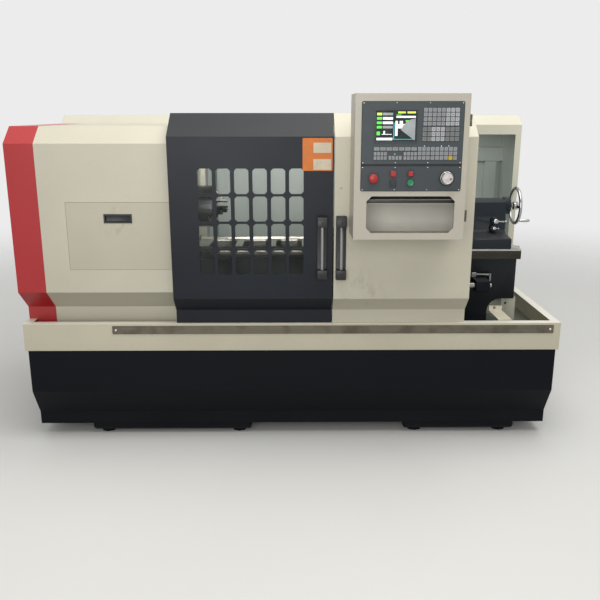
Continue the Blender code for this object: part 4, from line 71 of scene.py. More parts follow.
class Axis(Enum):
    """The direction that a round piece is turned about."""

    X = (1.0, 0.0, 0.0)
    Y = (0.0, 1.0, 0.0)
    Z = (0.0, 0.0, 1.0)

    @property
    def along(self) -> Vector:
        """The direction as a vector."""
        return Vector(self.value)

    @property
    def tilt(self) -> Spot:
        """The turn that points a flat disc along the direction."""
        quarter = math.pi / 2
        return {"X": (0.0, quarter, 0.0), "Y": (-quarter, 0.0, 0.0), "Z": (0.0, 0.0, 0.0)}[self.name]

    @property
    def across(self) -> Spot:
        """One where the direction has nothing, to keep only the distance from the axis."""
        return tuple(1.0 - value for value in self.value)


# Finishes

# How fine each pattern is, in repeats to the metre
FLOOR_CLOUDS = 0.8
PAINT_CLOUDS = 2.4
HOOD_MIST = 5.0
PANE_MIST = 6.0
TRAY_STAINS = 7.0
BED_OIL = 9.0
TARNISH_CLOUDS = 14.0
TOUCH_CLOUDS = 26.0
SCUFFS = 34.0
SPECKS = 38.0
CHIPS = 70.0
PANE_DROPS = 160.0
ORANGE_PEEL = 240.0
BED_MARKS = 420.0
TOOL_MARKS = 520.0
TURNING_RINGS = 900.0
# Pale tone on up-facing faces: settled dust, and on dark paint also a painted sheen
DUST_AND_SHEEN_TONE = tone(176, 170, 156)


class Recipe:
    """The shader nodes of one finish, added step by step."""

    def __init__(self, name: str) -> None:
        """Start a material of that name, with its place on the piece ready to read."""
        self.material = bpy.data.materials.new(name)
        self.material.use_nodes = True
        self.tree = self.material.node_tree
        self.shader = self.tree.nodes["Principled BSDF"]
        self.place = self.add("ShaderNodeTexCoord").outputs["Object"]
        self.facing = self.add("ShaderNodeNewGeometry").outputs["Normal"]

    def feed(self, socket: Socket, value: object) -> None:
        """Link a socket to another, or set its value."""
        if isinstance(value, bpy.types.NodeSocket):
            self.tree.links.new(value, socket)
        elif isinstance(value, tuple) and socket.type == "RGBA":
            socket.default_value = (*value[:3], 1.0)
        else:
            socket.default_value = value

    def add(self, kind: str, inputs: Optional[dict] = None, **settings: object) -> bpy.types.Node:
        """Add one node.

        Args:
            kind: The node's type.
            inputs: Values or sockets for its inputs, by name or number.
            settings: Its other settings.

        Returns:
            The new node.
        """
        node = self.tree.nodes.new(kind)
        for name, value in settings.items():
            setattr(node, name, value)
        for name, value in (inputs or {}).items():
            self.feed(node.inputs[name], value)
        return node

    def grain(self, scale: float, detail: float = 3.0, stretch: Spot = (1.0, 1.0, 1.0)) -> Socket:
        """Return a soft random value over the piece, drawn out where a stretch is small."""
        where = self.place
        if tuple(stretch) != (1.0, 1.0, 1.0):
            where = self.add("ShaderNodeMapping", {"Vector": where, "Scale": stretch}).outputs[0]
        inputs = {"Vector": where, "Scale": scale, "Detail": detail}
        return self.add("ShaderNodeTexNoise", inputs).outputs[0]

    def rings(self, centre: Spot, axis: Axis, scale: float) -> Socket:
        """Return a random value that changes only with the distance from an axis."""
        apart = self.add("ShaderNodeVectorMath", {0: self.place, 1: tuple(centre)}, operation="SUBTRACT")
        flat = self.add("ShaderNodeVectorMath", {0: apart.outputs[0], 1: axis.across}, operation="MULTIPLY")
        reach = self.add("ShaderNodeVectorMath", {0: flat.outputs[0]}, operation="LENGTH").outputs["Value"]
        inputs = {"W": reach, "Scale": scale, "Detail": 2.0}
        return self.add("ShaderNodeTexNoise", inputs, noise_dimensions="1D").outputs[0]

    def span(self, value: Socket, low: float, high: float, first: float = 0.0, last: float = 1.0) -> Socket:
        """Return a value moved from one range to another, held inside it."""
        inputs = {0: value, 1: low, 2: high, 3: first, 4: last}
        return self.add("ShaderNodeMapRange", inputs).outputs[0]

    def spread(self, noise: Socket, first: float = 0.0, last: float = 1.0) -> Socket:
        """Return the values that a noise mostly takes, spread over a whole range."""
        return self.span(noise, 0.3, 0.7, first, last)

    def sum(self, operation: str, first: object, second: object) -> Socket:
        """Return the result of a sum on two values."""
        return self.add("ShaderNodeMath", {0: first, 1: second}, operation=operation).outputs[0]

    def blend(self, share: object, first: object, second: object, mode: str = "MIX") -> Socket:
        """Return two colours mixed by a share."""
        node = self.add("ShaderNodeMix", {0: share}, data_type="RGBA", blend_type=mode)
        self.feed(node.inputs[6], first)
        self.feed(node.inputs[7], second)
        return node.outputs[2]

    def part(self, vector: Socket, name: str) -> Socket:
        """Return one of a vector's three parts."""
        return self.add("ShaderNodeSeparateXYZ", {0: vector}).outputs[name]

    def rounded(self, width: float) -> Socket:
        """Return the surface direction with its corners rounded to a width."""
        return self.add("ShaderNodeBevel", {"Radius": width}, samples=4).outputs[0]

    def corner(self, rounded: Socket) -> Socket:
        """Return how near to a corner a point lies, from nothing to one."""
        node = self.add("ShaderNodeVectorMath", {0: rounded, 1: self.facing}, operation="DOT_PRODUCT")
        return self.span(node.outputs["Value"], 0.985, 0.86)

    def facing_way(self, axis: Axis, sign: int) -> Socket:
        """Return one where the surface faces along an axis, up it or down it."""
        return self.span(self.part(self.facing, axis.name), 0.3 * sign, 0.7 * sign)

    def most(self, *values: Socket) -> Socket:
        """Return the largest of some values."""
        found = values[0]
        for value in values[1:]:
            found = self.sum("MAXIMUM", found, value)
        return found

    def within(self, share: Socket, *limits: tuple[Socket, float, float]) -> Socket:
        """Return a share kept only inside some limits.

        Args:
            share: The share.
            limits: For each, a value, where it leaves nothing, and where it leaves all.

        Returns:
            The share, cut down by every limit.
        """
        for value, nothing, everything in limits:
            share = self.sum("MULTIPLY", share, self.span(value, nothing, everything))
        return share

    def near(self, spot: Spot, reach: float) -> Socket:
        """Return one at a spot, falling to nothing at its reach."""
        node = self.add("ShaderNodeVectorMath", {0: self.place, 1: tuple(spot)}, operation="DISTANCE")
        return self.span(node.outputs["Value"], reach, reach * 0.25)

    def relief(self, height: object, depth: float, under: Optional[Socket] = None) -> Socket:
        """Return the surface direction raised by a height, over another direction."""
        inputs = {"Height": height, "Distance": depth, "Strength": 1.0}
        if under:
            inputs["Normal"] = under
        return self.add("ShaderNodeBump", inputs).outputs[0]


@dataclass(frozen=True)
class Finish:
    """A surface finish: its name, the record's slot for it, and its main colour."""

    name: str
    slot: str
    colour: Colour

    def make(self) -> bpy.types.Material:
        """Return the finish as a material, mixed on first use."""
        found = bpy.data.materials.get(f"{self.name}_finish")
        if found:
            return found
        recipe = Recipe(f"{self.name}_finish")
        self.mix(recipe)
        return recipe.material

    def mix(self, recipe: Recipe) -> None:
        """Put the finish on a recipe's shader."""
        recipe.feed(recipe.shader.inputs["Base Color"], self.colour)

    def shade(self, amount: float) -> Colour:
        """Return the main colour made darker or lighter."""
        return tuple(min(1.0, value * amount) for value in self.colour)


@dataclass(frozen=True)
class Enamel(Finish):
    """Sprayed enamel on sheet metal or a casting, rubbed at its corners, dusty on top with a painted sheen
    there, and painted dark past a hinge line as painted shade.
    """

    bare: Colour = tone(150, 148, 142)
    roughness: float = 0.36
    mottle: float = 0.05
    wear: float = 0.3
    # Share of that pale tone on up-facing faces: dust, and a painted sheen where the paint is dark
    dust_and_sheen: float = 0.12
    dirt: Colour = tone(96, 88, 70)
    dirt_height: float = 0.0
    dirt_fade: float = 0.16
    peel: float = 0.00006
    corner_width: float = 0.0016
    specular: float = 0.5
    smudges: tuple[tuple[Spot, float], ...] = ()
    # Painted shade: the X past which faces are painted dark, and that dark tone, standing in for the shadowed
    # hinge gaps
    hinge_shade_side: float = 0.0
    hinge_shade_tone: Colour = tone(50, 47, 42)

    def mix(self, recipe: Recipe) -> None:
        """Paint with mottling, rubbed corners, dust and a painted sheen on top, dirt near the ground, painted
        hinge shade and orange peel.
        """
        broad = recipe.grain(PAINT_CLOUDS, 5.0)
        fine = recipe.grain(SPECKS, 4.0)
        paint = recipe.blend(
            recipe.span(broad, 0.32, 0.68), self.shade(1 - self.mottle), self.shade(1 + self.mottle)
        )
        paint = recipe.blend(recipe.span(fine, 0.56, 0.80, 0.0, 0.22), paint, self.shade(0.82))
        # Up-facing faces turn paler: dust, and a painted sheen that lightens the tops of dark paint
        top_dust_and_sheen = recipe.span(recipe.part(recipe.facing, "Z"), 0.75, 0.98, 0.0, self.dust_and_sheen)
        paint = recipe.blend(top_dust_and_sheen, paint, DUST_AND_SHEEN_TONE)
        if self.dirt_height:
            up, top = recipe.part(recipe.place, "Z"), self.dirt_height
            low = recipe.span(up, top, top - self.dirt_fade)
            stain = recipe.sum("MULTIPLY", low, recipe.span(broad, 0.35, 0.7, 0.04, 0.26))
            paint = recipe.blend(stain, paint, self.dirt)
        for spot, reach in self.smudges:
            scuff = recipe.grain(SCUFFS, 6.0, (1.0, 1.0, 0.6))
            mark = recipe.sum("MULTIPLY", recipe.near(spot, reach), recipe.span(scuff, 0.5, 0.75, 0.0, 0.3))
            paint = recipe.blend(mark, paint, self.dirt)
        # Painted shade: faces past the hinge line take a dark tone, standing in for the shadowed gaps round
        # the knuckles
        if self.hinge_shade_side:
            hinge_shade_share = recipe.span(recipe.part(recipe.place, "X"), self.hinge_shade_side, self.hinge_shade_side + 0.0004)
            paint = recipe.blend(hinge_shade_share, paint, recipe.blend(fine, self.hinge_shade_tone, self.dirt))
        soft = recipe.rounded(self.corner_width)
        chips = recipe.span(recipe.grain(CHIPS, 4.0), 0.48, 0.62, 0.0, self.wear)
        paint = recipe.blend(recipe.sum("MULTIPLY", recipe.corner(soft), chips), paint, self.bare)
        recipe.feed(recipe.shader.inputs["Base Color"], paint)
        gloss = recipe.spread(broad, self.roughness - 0.05, self.roughness + 0.07)
        recipe.feed(recipe.shader.inputs["Roughness"], gloss)
        recipe.shader.inputs["Specular IOR Level"].default_value = self.specular
        peel = recipe.relief(recipe.grain(ORANGE_PEEL, 2.0), self.peel, soft)
        recipe.feed(recipe.shader.inputs["Normal"], peel)


@dataclass(frozen=True)
class HoodEnamel(Enamel):
    """The enamel of a hood or box: cream outside and misted inside, in a greyer paint on the guard and a
    paler painted light in the control box's pocket.
    """

    node: str = "rear_guard"
    # The inside tone: a greyer paint on the guard; the control box gives a paler one as painted light
    inside: Colour = tone(188, 198, 193)
    lip: float = 0.03
    wall: float = 0.001
    top: float = 1.385
    blur: float = 0.002

    def mix(self, recipe: Recipe) -> None:
        """Paint the sheet, and give what faces into it behind its lip the inside tone: greyer paint on the
        guard, painted light on the control box.
        """
        super().mix(recipe)
        base = recipe.shader.inputs["Base Color"].links[0].from_socket
        low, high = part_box(self.node)
        across, deep, up = (recipe.part(recipe.place, name) for name in "XYZ")
        left, right, start = low.x + self.wall, high.x - self.wall, low.y + self.lip
        inner = recipe.most(
            recipe.facing_way(Axis.Y, -1), recipe.facing_way(Axis.X, -1),
            recipe.facing_way(Axis.X, 1), recipe.facing_way(Axis.Z, -1),
        )
        inner = recipe.within(
            inner, (deep, start, start + self.blur), (up, self.top + 2 * self.blur, self.top),
            (up, low.z + self.blur, low.z + 2 * self.blur), (across, left - self.blur / 4, left),
            (across, right + self.blur / 4, right),
        )
        mist = recipe.span(recipe.grain(HOOD_MIST, 5.0, (1.0, 1.0, 0.4)), 0.35, 0.7)
        inside_paint_and_light = recipe.blend(mist, self.inside, tuple(value * 0.84 for value in self.inside))
        recipe.feed(recipe.shader.inputs["Base Color"], recipe.blend(inner, base, inside_paint_and_light))


@dataclass(frozen=True)
class BedEnamel(Enamel):
    """A painted bed casting whose ways are ground bright and oiled, with painted shade on their ground side
    faces.
    """

    ways_height: float = 0.8275
    ground: Colour = tone(206, 205, 196)
    streaks: Colour = tone(146, 144, 136)
    oil: Colour = tone(104, 98, 84)
    # Painted shade: the darker metal tone of ground faces that don't face up
    flank_shade: Colour = tone(70, 67, 60)
    flank_shade_streaks: Colour = tone(54, 51, 46)
    flank_height: float = 0.866
    ground_roughness: float = 0.24

    def mix(self, recipe: Recipe) -> None:
        """Paint the casting, grind its ways and paint shade on the ways' side faces."""
        super().mix(recipe)
        shader = recipe.shader
        base, rough = (shader.inputs[name].links[0].from_socket for name in ("Base Color", "Roughness"))
        up = recipe.part(recipe.place, "Z")
        high = recipe.span(up, self.ways_height - 0.0004, self.ways_height)
        streak = recipe.spread(recipe.grain(BED_MARKS, 3.0, (0.03, 1.0, 1.0)))
        oiled = recipe.span(recipe.grain(BED_OIL, 4.0), 0.45, 0.62, 0.0, 0.35)
        bright = recipe.blend(oiled, recipe.blend(streak, self.ground, self.streaks), self.oil)
        # Painted shade: ground side faces below the flank height take the darker tone
        shaded_flank = recipe.blend(streak, self.flank_shade, self.flank_shade_streaks)
        flank = recipe.span(up, self.flank_height - 0.0005, self.flank_height)
        bright = recipe.blend(recipe.most(recipe.facing_way(Axis.Z, 1), flank), shaded_flank, bright)
        recipe.feed(shader.inputs["Base Color"], recipe.blend(high, base, bright))
        recipe.feed(shader.inputs["Metallic"], recipe.span(high, 0.0, 1.0, 0.0, 0.9))
        smooth = recipe.add("ShaderNodeMix", {0: high, 2: rough, 3: self.ground_roughness})
        recipe.feed(shader.inputs["Roughness"], smooth.outputs[0])


@dataclass(frozen=True)
class PanEnamel(Enamel):
    """The tray's enamel: clean outside, stained and oily on its floor and inner walls, with a painted
    highlight along the top of its rim.
    """

    rim_height: float = 0.571
    outside: float = 0.004
    stain: Colour = tone(98, 101, 93)
    # Painted highlight: the pale tone along the top of the rim
    rim_painted_highlight: Colour = tone(240, 237, 224)

    def mix(self, recipe: Recipe) -> None:
        """Paint the tray, stain what lies inside its rim and paint a highlight along the rim's top."""
        super().mix(recipe)
        shader = recipe.shader
        base = shader.inputs["Base Color"].links[0].from_socket
        low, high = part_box("chip_tray")
        across, deep, up = (recipe.part(recipe.place, name) for name in "XYZ")
        wall = self.outside
        blotch = recipe.spread(recipe.grain(TRAY_STAINS, 5.0), 0.7, 1.0)
        wet = recipe.within(
            blotch, (up, self.rim_height, self.rim_height - 0.02),
            (across, low.x + wall, low.x + wall * 1.5), (across, high.x - wall, high.x - wall * 1.5),
            (deep, low.y + wall * 0.5, low.y + wall * 0.6), (deep, high.y - wall * 0.1, high.y - wall * 0.2),
        )
        paint = recipe.blend(wet, base, self.stain)
        # Painted highlight: the top of the rim is painted pale, standing in for the light it catches
        rim = recipe.span(up, high.z - 0.0025, high.z - 0.0010, 0.0, 0.8)
        recipe.feed(shader.inputs["Base Color"], recipe.blend(rim, paint, self.rim_painted_highlight))


@dataclass(frozen=True)
class Machined(Finish):
    """Bare metal that was ground or brushed along one direction, or turned about an axis."""

    roughness: float = 0.3
    stretch: Spot = (0.03, 1.0, 1.0)
    centre: Optional[Spot] = None
    axis: Axis = Axis.X
    tarnish: Colour = tone(104, 96, 80)
    depth: float = 0.00002
    patches: float = 0.35
    corner_width: float = 0.0008

    def mix(self, recipe: Recipe) -> None:
        """Lay tool marks, tarnish and bright corners on bare metal."""
        if self.centre is None:
            marks = recipe.grain(TOOL_MARKS, 3.0, self.stretch)
        else:
            marks = recipe.rings(self.centre, self.axis, TURNING_RINGS)
        cloud = recipe.grain(TARNISH_CLOUDS, 5.0)
        metal = recipe.blend(recipe.spread(marks), self.shade(0.86), self.shade(1.08))
        metal = recipe.blend(recipe.span(cloud, 0.45, 0.7, 0.0, self.patches), metal, self.tarnish)
        soft = recipe.rounded(self.corner_width)
        metal = recipe.blend(recipe.span(recipe.corner(soft), 0.0, 1.0, 0.0, 0.5), metal, self.shade(1.35))
        shader = recipe.shader
        recipe.feed(shader.inputs["Base Color"], metal)
        shader.inputs["Metallic"].default_value = 1.0
        rough = recipe.spread(cloud, self.roughness - 0.06, self.roughness + 0.1)
        recipe.feed(shader.inputs["Roughness"], rough)
        recipe.feed(shader.inputs["Normal"], recipe.relief(marks, self.depth, soft))


@dataclass(frozen=True)
class Moulded(Finish):
    """Moulded plastic, rubber or printed film with a fine grain and rubbed corners."""

    roughness: float = 0.45
    grain_scale: float = 900.0
    depth: float = 0.00003
    rubbed: float = 0.25
    glow: float = 0.0
    corner_width: float = 0.0006

    def mix(self, recipe: Recipe) -> None:
        """Give the plastic its grain, uneven colour, finger marks and paler corners."""
        cloud = recipe.grain(TOUCH_CLOUDS, 4.0)
        skin = recipe.blend(recipe.spread(cloud), self.shade(0.9), self.shade(1.1))
        soft = recipe.rounded(self.corner_width)
        paler = tuple(min(1.0, value * 1.5 + 0.02) for value in self.colour)
        skin = recipe.blend(recipe.span(recipe.corner(soft), 0.0, 1.0, 0.0, self.rubbed), skin, paler)
        shader = recipe.shader
        recipe.feed(shader.inputs["Base Color"], skin)
        touch = recipe.span(cloud, 0.35, 0.65, self.roughness - 0.08, self.roughness + 0.06)
        recipe.feed(shader.inputs["Roughness"], touch)
        grained = recipe.relief(recipe.grain(self.grain_scale, 2.0), self.depth, soft)
        recipe.feed(shader.inputs["Normal"], grained)
        if self.glow:
            recipe.feed(shader.inputs["Emission Color"], skin)
            shader.inputs["Emission Strength"].default_value = self.glow


@dataclass(frozen=True)
class Pane(Finish):
    """Clear safety glass with a faint tint and a film of oil mist."""

    clear: float = 0.05

    def mix(self, recipe: Recipe) -> None:
        """Tint the glass and cloud it unevenly with mist."""
        mist = recipe.grain(PANE_MIST, 5.0)
        drops = recipe.grain(PANE_DROPS, 2.0)
        shader = recipe.shader
        tint = recipe.blend(recipe.span(mist, 0.35, 0.7), self.colour, self.shade(0.9))
        recipe.feed(shader.inputs["Base Color"], tint)
        recipe.feed(shader.inputs["Roughness"], recipe.spread(mist, 0.04, 0.12))
        veil = recipe.span(mist, 0.35, 0.75, self.clear * 0.6, self.clear * 1.6)
        recipe.feed(shader.inputs["Alpha"], veil)
        recipe.feed(shader.inputs["Normal"], recipe.relief(drops, 0.000008))
        recipe.material.surface_render_method = "BLENDED"


CREAM = tone(205, 200, 181)
# A point on the spindle's line, and the X beyond which the control box's hinge knuckles lie, painted dark
# there as painted shade of the hinge gaps
SPINDLE_LINE = (-0.475, -0.06605, 1.0555)
HINGE_SHADE_SIDE = 0.6842

COVER_CREAM = Enamel("cover_cream", "cream_paint", CREAM, dirt_height=0.66, wear=0.18)
DOOR_CREAM = Enamel(
    "door_cream", "cream_paint", CREAM, dirt_height=0.74, wear=0.22,
    smudges=(((0.206, -0.4847, 0.93), 0.09), ((0.30, -0.4847, 0.74), 0.12)),
)
HATCH_CREAM = Enamel(
    "hatch_cream", "cream_paint", tone(194, 189, 169), wear=0.3, smudges=(((-0.75, -0.448, 1.03), 0.09),)
)
# Painted light: the control box's inside tone is paler than its outside, to brighten the shaded pocket
BOX_CREAM_LIT_POCKET = HoodEnamel(
    "box_cream_lit_pocket", "cream_paint", tone(190, 185, 170), wear=0.35, mottle=0.04, node="control_box",
    hinge_shade_side=HINGE_SHADE_SIDE, inside=tone(232, 230, 222), top=1.55,
)
LID_CREAM = Enamel(
    "lid_cream", "cream_paint", tone(190, 185, 170), wear=0.4, mottle=0.04, hinge_shade_side=HINGE_SHADE_SIDE,
    smudges=(((0.622, -0.685, 1.174), 0.028), ((0.50, -0.685, 1.180), 0.018), ((0.664, -0.685, 1.24), 0.016)),
)
GUARD_CREAM = HoodEnamel("guard_cream", "cream_paint", tone(213, 210, 191), wear=0.2, dirt_height=0.70)
TRAY_CREAM = PanEnamel("tray_cream", "cream_paint", tone(202, 196, 174), wear=0.45, dirt_height=0.50)
PLAIN_CREAM = Enamel("plain_cream", "cream_paint", tone(206, 203, 186), wear=0.2)
BRACKET_CREAM = Enamel("bracket_cream", "cream_paint", tone(196, 190, 168), wear=0.5)
COVER_RED = Enamel(
    "cover_red", "red_paint", tone(178, 40, 43), bare=tone(116, 58, 56), dirt_height=0.68, wear=0.2
)
# The dark door's top slopes are painted paler: dust and a painted sheen together
DOOR_DARK = Enamel(
    "door_dark", "dark_paint", tone(18, 24, 33), bare=tone(80, 85, 88), roughness=0.34, dust_and_sheen=0.16,
    specular=0.24,
)
SKIRT_DARK = Enamel(
    "skirt_dark", "dark_paint", tone(14, 18, 23), bare=tone(70, 71, 72), roughness=0.4, dust_and_sheen=0.05,
    dirt=tone(44, 43, 42), dirt_height=0.14, specular=0.1,
)
CAST_DARK = Enamel(
    "cast_dark", "dark_paint", tone(27, 34, 41), bare=tone(100, 101, 100), roughness=0.38, peel=0.00014,
    wear=0.5, dust_and_sheen=0.05, specular=0.24,
)
BED_DARK = BedEnamel(
    "bed_dark", "dark_paint", tone(28, 31, 35), bare=tone(100, 101, 100), roughness=0.4, peel=0.00014,
    wear=0.4, dust_and_sheen=0.05, specular=0.22,
)
CABINET_GREY = Enamel("cabinet_grey", "grey_paint", tone(150, 151, 148), roughness=0.5, wear=0.2)
MOTOR_GREY = Enamel("motor_grey", "grey_paint", tone(92, 100, 108), roughness=0.42, peel=0.00012, wear=0.4)
PLATE_GREY = Enamel("plate_grey", "grey_paint", tone(188, 187, 170), roughness=0.5, wear=0.5)
RAIL_STEEL = Machined(
    "rail_steel", "stainless", tone(112, 107, 96), 0.24, (0.004, 1.0, 1.0), tarnish=tone(70, 64, 54),
    depth=0.000012, patches=0.6,
)
FITTING_METAL = Machined(
    "fitting_metal", "chrome", tone(128, 128, 126), 0.34, (1.0, 1.0, 1.0), depth=0.000006
)
GROUND_STEEL = Machined("ground_steel", "steel", tone(150, 149, 146), 0.32)
TURNED_STEEL = Machined("turned_steel", "steel", tone(142, 141, 139), 0.3, centre=SPINDLE_LINE)
CHUCK_STEEL = Machined("chuck_steel", "steel", tone(140, 142, 146), 0.3, centre=SPINDLE_LINE)
JAW_STEEL = Machined("jaw_steel", "steel", tone(168, 167, 164), 0.26)
SCREW_STEEL = Machined("screw_steel", "steel", tone(158, 157, 152), 0.24, (0.2, 1.0, 1.0))
PULLEY_METAL = Machined("pulley_metal", "aluminium", tone(196, 196, 198), 0.28, centre=SPINDLE_LINE)
BAR_METAL = Machined("bar_metal", "aluminium", tone(138, 140, 140), 0.34, (1.0, 1.0, 0.02))
CHROME = Machined(
    "chrome_plate", "chrome", tone(176, 177, 176), 0.13, (1.0, 1.0, 1.0), tarnish=tone(138, 136, 128),
    depth=0.000003,
)
SCREW_CHROME = Machined("screw_head", "chrome", tone(214, 212, 206), 0.22, depth=0.000005)
BLACK_PLASTIC = Moulded("black_plastic_part", "black_plastic", tone(30, 30, 32), 0.42)
MOTOR_BLACK = Moulded("motor_black", "black_plastic", tone(34, 35, 38), 0.5, 400.0, 0.0001)
PANEL_FILM = Moulded("panel_film", "panel_grey", tone(57, 66, 70), 0.5, 1400.0)
PLATE_FILM = Moulded("plate_film", "panel_grey", tone(52, 59, 63), 0.5, 1400.0)
KEY_MARK = Moulded("key_mark", "key_grey", tone(84, 86, 88), 0.55)
FIELD_FILM = Moulded("field_film", "panel_grey", tone(50, 54, 58), 0.55, 1400.0)
# The gasket's dark tone, partly painted shade of the gap round the plates
GASKET_AND_SHADE_FILM = Moulded("gasket_and_shade_film", "panel_grey", tone(30, 31, 34), 0.6, 1400.0)
KEY_LIGHT = Moulded("key_light", "key_grey", tone(176, 178, 181), 0.55)
KEY_MID = Moulded("key_mid", "key_grey", tone(146, 149, 151), 0.55)
KEY_DARK = Moulded("key_dark", "key_grey", tone(120, 122, 123), 0.55)
KEY_YELLOW = Moulded("key_yellow", "key_grey", tone(206, 178, 44), 0.5)
RED_BUTTON = Moulded("red_button", "red_plastic", tone(172, 34, 40), 0.34, depth=0.00001)
GREEN_BUTTON = Moulded("green_button", "green_plastic", tone(16, 132, 88), 0.3, depth=0.00001)
KNOB_FACE = Moulded("knob_face", "aluminium", tone(216, 208, 206), 0.34, depth=0.00001)
BELT_RUBBER = Moulded("belt_rubber_part", "belt_rubber", tone(34, 34, 34), 0.7, 500.0, 0.0001)
PANE_GLASS = Pane("pane_glass", "glass", tone(150, 160, 156))
DARK_DISPLAY = Moulded("dark_display", "screen", tone(12, 26, 28), 0.12, glow=0.25, depth=0.000002)
WHITE_LIGHT = Moulded("white_light", "screen", tone(225, 232, 230), 0.2, glow=0.75, depth=0.000002)
GREY_LIGHT = Moulded("grey_light", "screen", tone(140, 144, 146), 0.2, glow=0.5, depth=0.000002)
GREEN_LIGHT = Moulded("green_light", "screen", tone(86, 216, 70), 0.2, glow=0.7, depth=0.000002)
LIME_LIGHT = Moulded("lime_light", "screen", tone(190, 224, 74), 0.2, glow=0.7, depth=0.000002)
CYAN_LIGHT = Moulded("cyan_light", "screen", tone(30, 172, 178), 0.2, glow=0.7, depth=0.000002)
FIELD_ORANGE = Moulded("field_orange", "black_plastic", tone(214, 118, 40), 0.5, 1200.0, 0.00001)
FIELD_WHITE = Moulded("field_white", "black_plastic", tone(214, 200, 176), 0.5, 1200.0, 0.00001)


# Modelling


def clear_bench() -> None:
    """Leave edit mode and deselect everything."""
    if bpy.context.mode != "OBJECT":
        bpy.ops.object.mode_set(mode="OBJECT")
    bpy.ops.object.select_all(action="DESELECT")


def faces_operator(_: Vector, way: Vector) -> bool:
    """Tell whether a face looks towards the operator."""
    return way.y < -0.9


class Blank:
    """A piece on the bench: a primitive shaped in edit mode, coated, and fixed to the machine."""

    def __init__(self, name: str, apply: bool = True) -> None:
        """Take the primitive that was added last.

        Args:
            name: The piece's name.
            apply: Whether its place goes into its mesh at once.
        """
        self.body = bpy.context.object
        self.body.name = name
        self.body.data.name = name
        if apply:
            bpy.ops.object.transform_apply(location=True, rotation=True, scale=True)

    def take(self) -> None:
        """Select this piece alone and make it the active one."""
        clear_bench()
        self.body.select_set(True)
        bpy.context.view_layer.objects.active = self.body

    def open(self) -> None:
        """Go into edit mode on this piece alone."""
        self.take()
        bpy.ops.object.mode_set(mode="EDIT")

    def close(self) -> "Blank":
        """Leave edit mode and return the piece."""
        bpy.ops.object.mode_set(mode="OBJECT")
        return self

    def pick(self, test: Test) -> "Blank":
        """Select the faces whose middle and direction pass a test, and stay in edit mode."""
        self.open()
        bpy.ops.mesh.select_mode(type="FACE")
        bpy.ops.mesh.select_all(action="DESELECT")
        mesh = bmesh.from_edit_mesh(self.body.data)
        for face in mesh.faces:
            if test(face.calc_center_median(), face.normal):
                face.select_set(True)
        bmesh.update_edit_mesh(self.body.data)
        return self

    def pick_edges(self, test: Test) -> "Blank":
        """Select the edges whose middle and direction pass a test, and stay in edit mode."""
        self.open()
        bpy.ops.mesh.select_mode(type="EDGE")
        bpy.ops.mesh.select_all(action="DESELECT")
        mesh = bmesh.from_edit_mesh(self.body.data)
        for edge in mesh.edges:
            first, last = (vert.co for vert in edge.verts)
            if test((first + last) / 2, (last - first).normalized()):
                edge.select_set(True)
        bmesh.update_edit_mesh(self.body.data)
        return self

    def push(self, shift: Spot) -> "Blank":
        """Extrude what is selected by a shift."""
        bpy.ops.mesh.extrude_region_move(TRANSFORM_OT_translate={"value": tuple(shift)})
        return self

    def size(self, factors: Spot, centre: Spot) -> "Blank":
        """Scale what is selected about a centre."""
        bpy.ops.transform.resize(value=tuple(factors), center_override=tuple(centre))
        return self

    def inset(self, width: float, depth: float = 0.0) -> "Blank":
        """Inset the selected faces."""
        bpy.ops.mesh.inset(thickness=width, depth=depth)
        return self

    def corners(self, axis: Axis, width: float, steps: int = 3) -> "Blank":
        """Round the edges that run along an axis."""
        self.pick_edges(lambda _, way: abs(way.dot(axis.along)) > 0.99)
        bpy.ops.mesh.bevel(offset=width, segments=steps, affect="EDGES")
        return self.close()

    def soften(self, width: float, steps: int = 2, angle: float = 35.0) -> "Blank":
        """Round every edge sharper than an angle with an applied modifier."""
        self.take()
        edges = self.body.modifiers.new("edges", "BEVEL")
        edges.width = width
        edges.segments = steps
        edges.limit_method = "ANGLE"
        edges.angle_limit = math.radians(angle)
        edges.harden_normals = False
        bpy.ops.object.modifier_apply(modifier=edges.name)
        return self

    def repeat(self, count: int, shift: Spot) -> "Blank":
        """Copy the piece along a row with an applied array."""
        if count > 1:
            row = self.body.modifiers.new("row", "ARRAY")
            row.count = count
            row.use_relative_offset = False
            row.use_constant_offset = True
            row.constant_offset_displace = tuple(shift)
            bpy.ops.object.modifier_apply(modifier=row.name)
        return self

    def cut(self, cutter: "Blank") -> "Blank":
        """Cut another piece out of this one and throw the cutter away."""
        self.take()
        hole = self.body.modifiers.new("hole", "BOOLEAN")
        hole.object = cutter.body
        hole.solver = "EXACT"
        bpy.ops.object.modifier_apply(modifier=hole.name)
        bpy.data.objects.remove(cutter.body)
        return self

    def copy(self, name: str, placed: Matrix) -> "Blank":
        """Copy the piece with its own mesh, moved or turned by a matrix."""
        self.take()
        bpy.ops.object.duplicate(linked=False)
        bpy.context.object.matrix_world = placed
        return Blank(name)

    def coat(self, finish: Finish, angle: float = 35.0) -> "Blank":
        """Close the seams, turn the faces outwards, smooth the round parts and give the finish."""
        self.open()
        bpy.ops.mesh.select_all(action="SELECT")
        bpy.ops.mesh.remove_doubles(threshold=1e-6)
        bpy.ops.mesh.normals_make_consistent(inside=False)
        self.close()
        bpy.ops.object.shade_smooth_by_angle(angle=math.radians(angle))
        self.body.data.materials.clear()
        self.body.data.materials.append(finish.make())
        self.body["lathe_slot"] = finish.slot
        return self

    def touch_up(self, finish: Finish, test: Test) -> "Blank":
        """Give a second finish to the faces whose middle and direction pass a test."""
        mesh = self.body.data
        mesh.materials.append(finish.make())
        for face in mesh.polygons:
            if test(face.center, face.normal):
                face.material_index = len(mesh.materials) - 1
        return self

    def fix(self, body: str, *replaced: str) -> "Blank":
        """Make the piece ride on a body, in place of the named solids."""
        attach(self.body, body)
        if replaced:
            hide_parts(*replaced)
        LOG.info("%s on %s, %d faces", self.body.name, body, len(self.body.data.polygons))
        return self


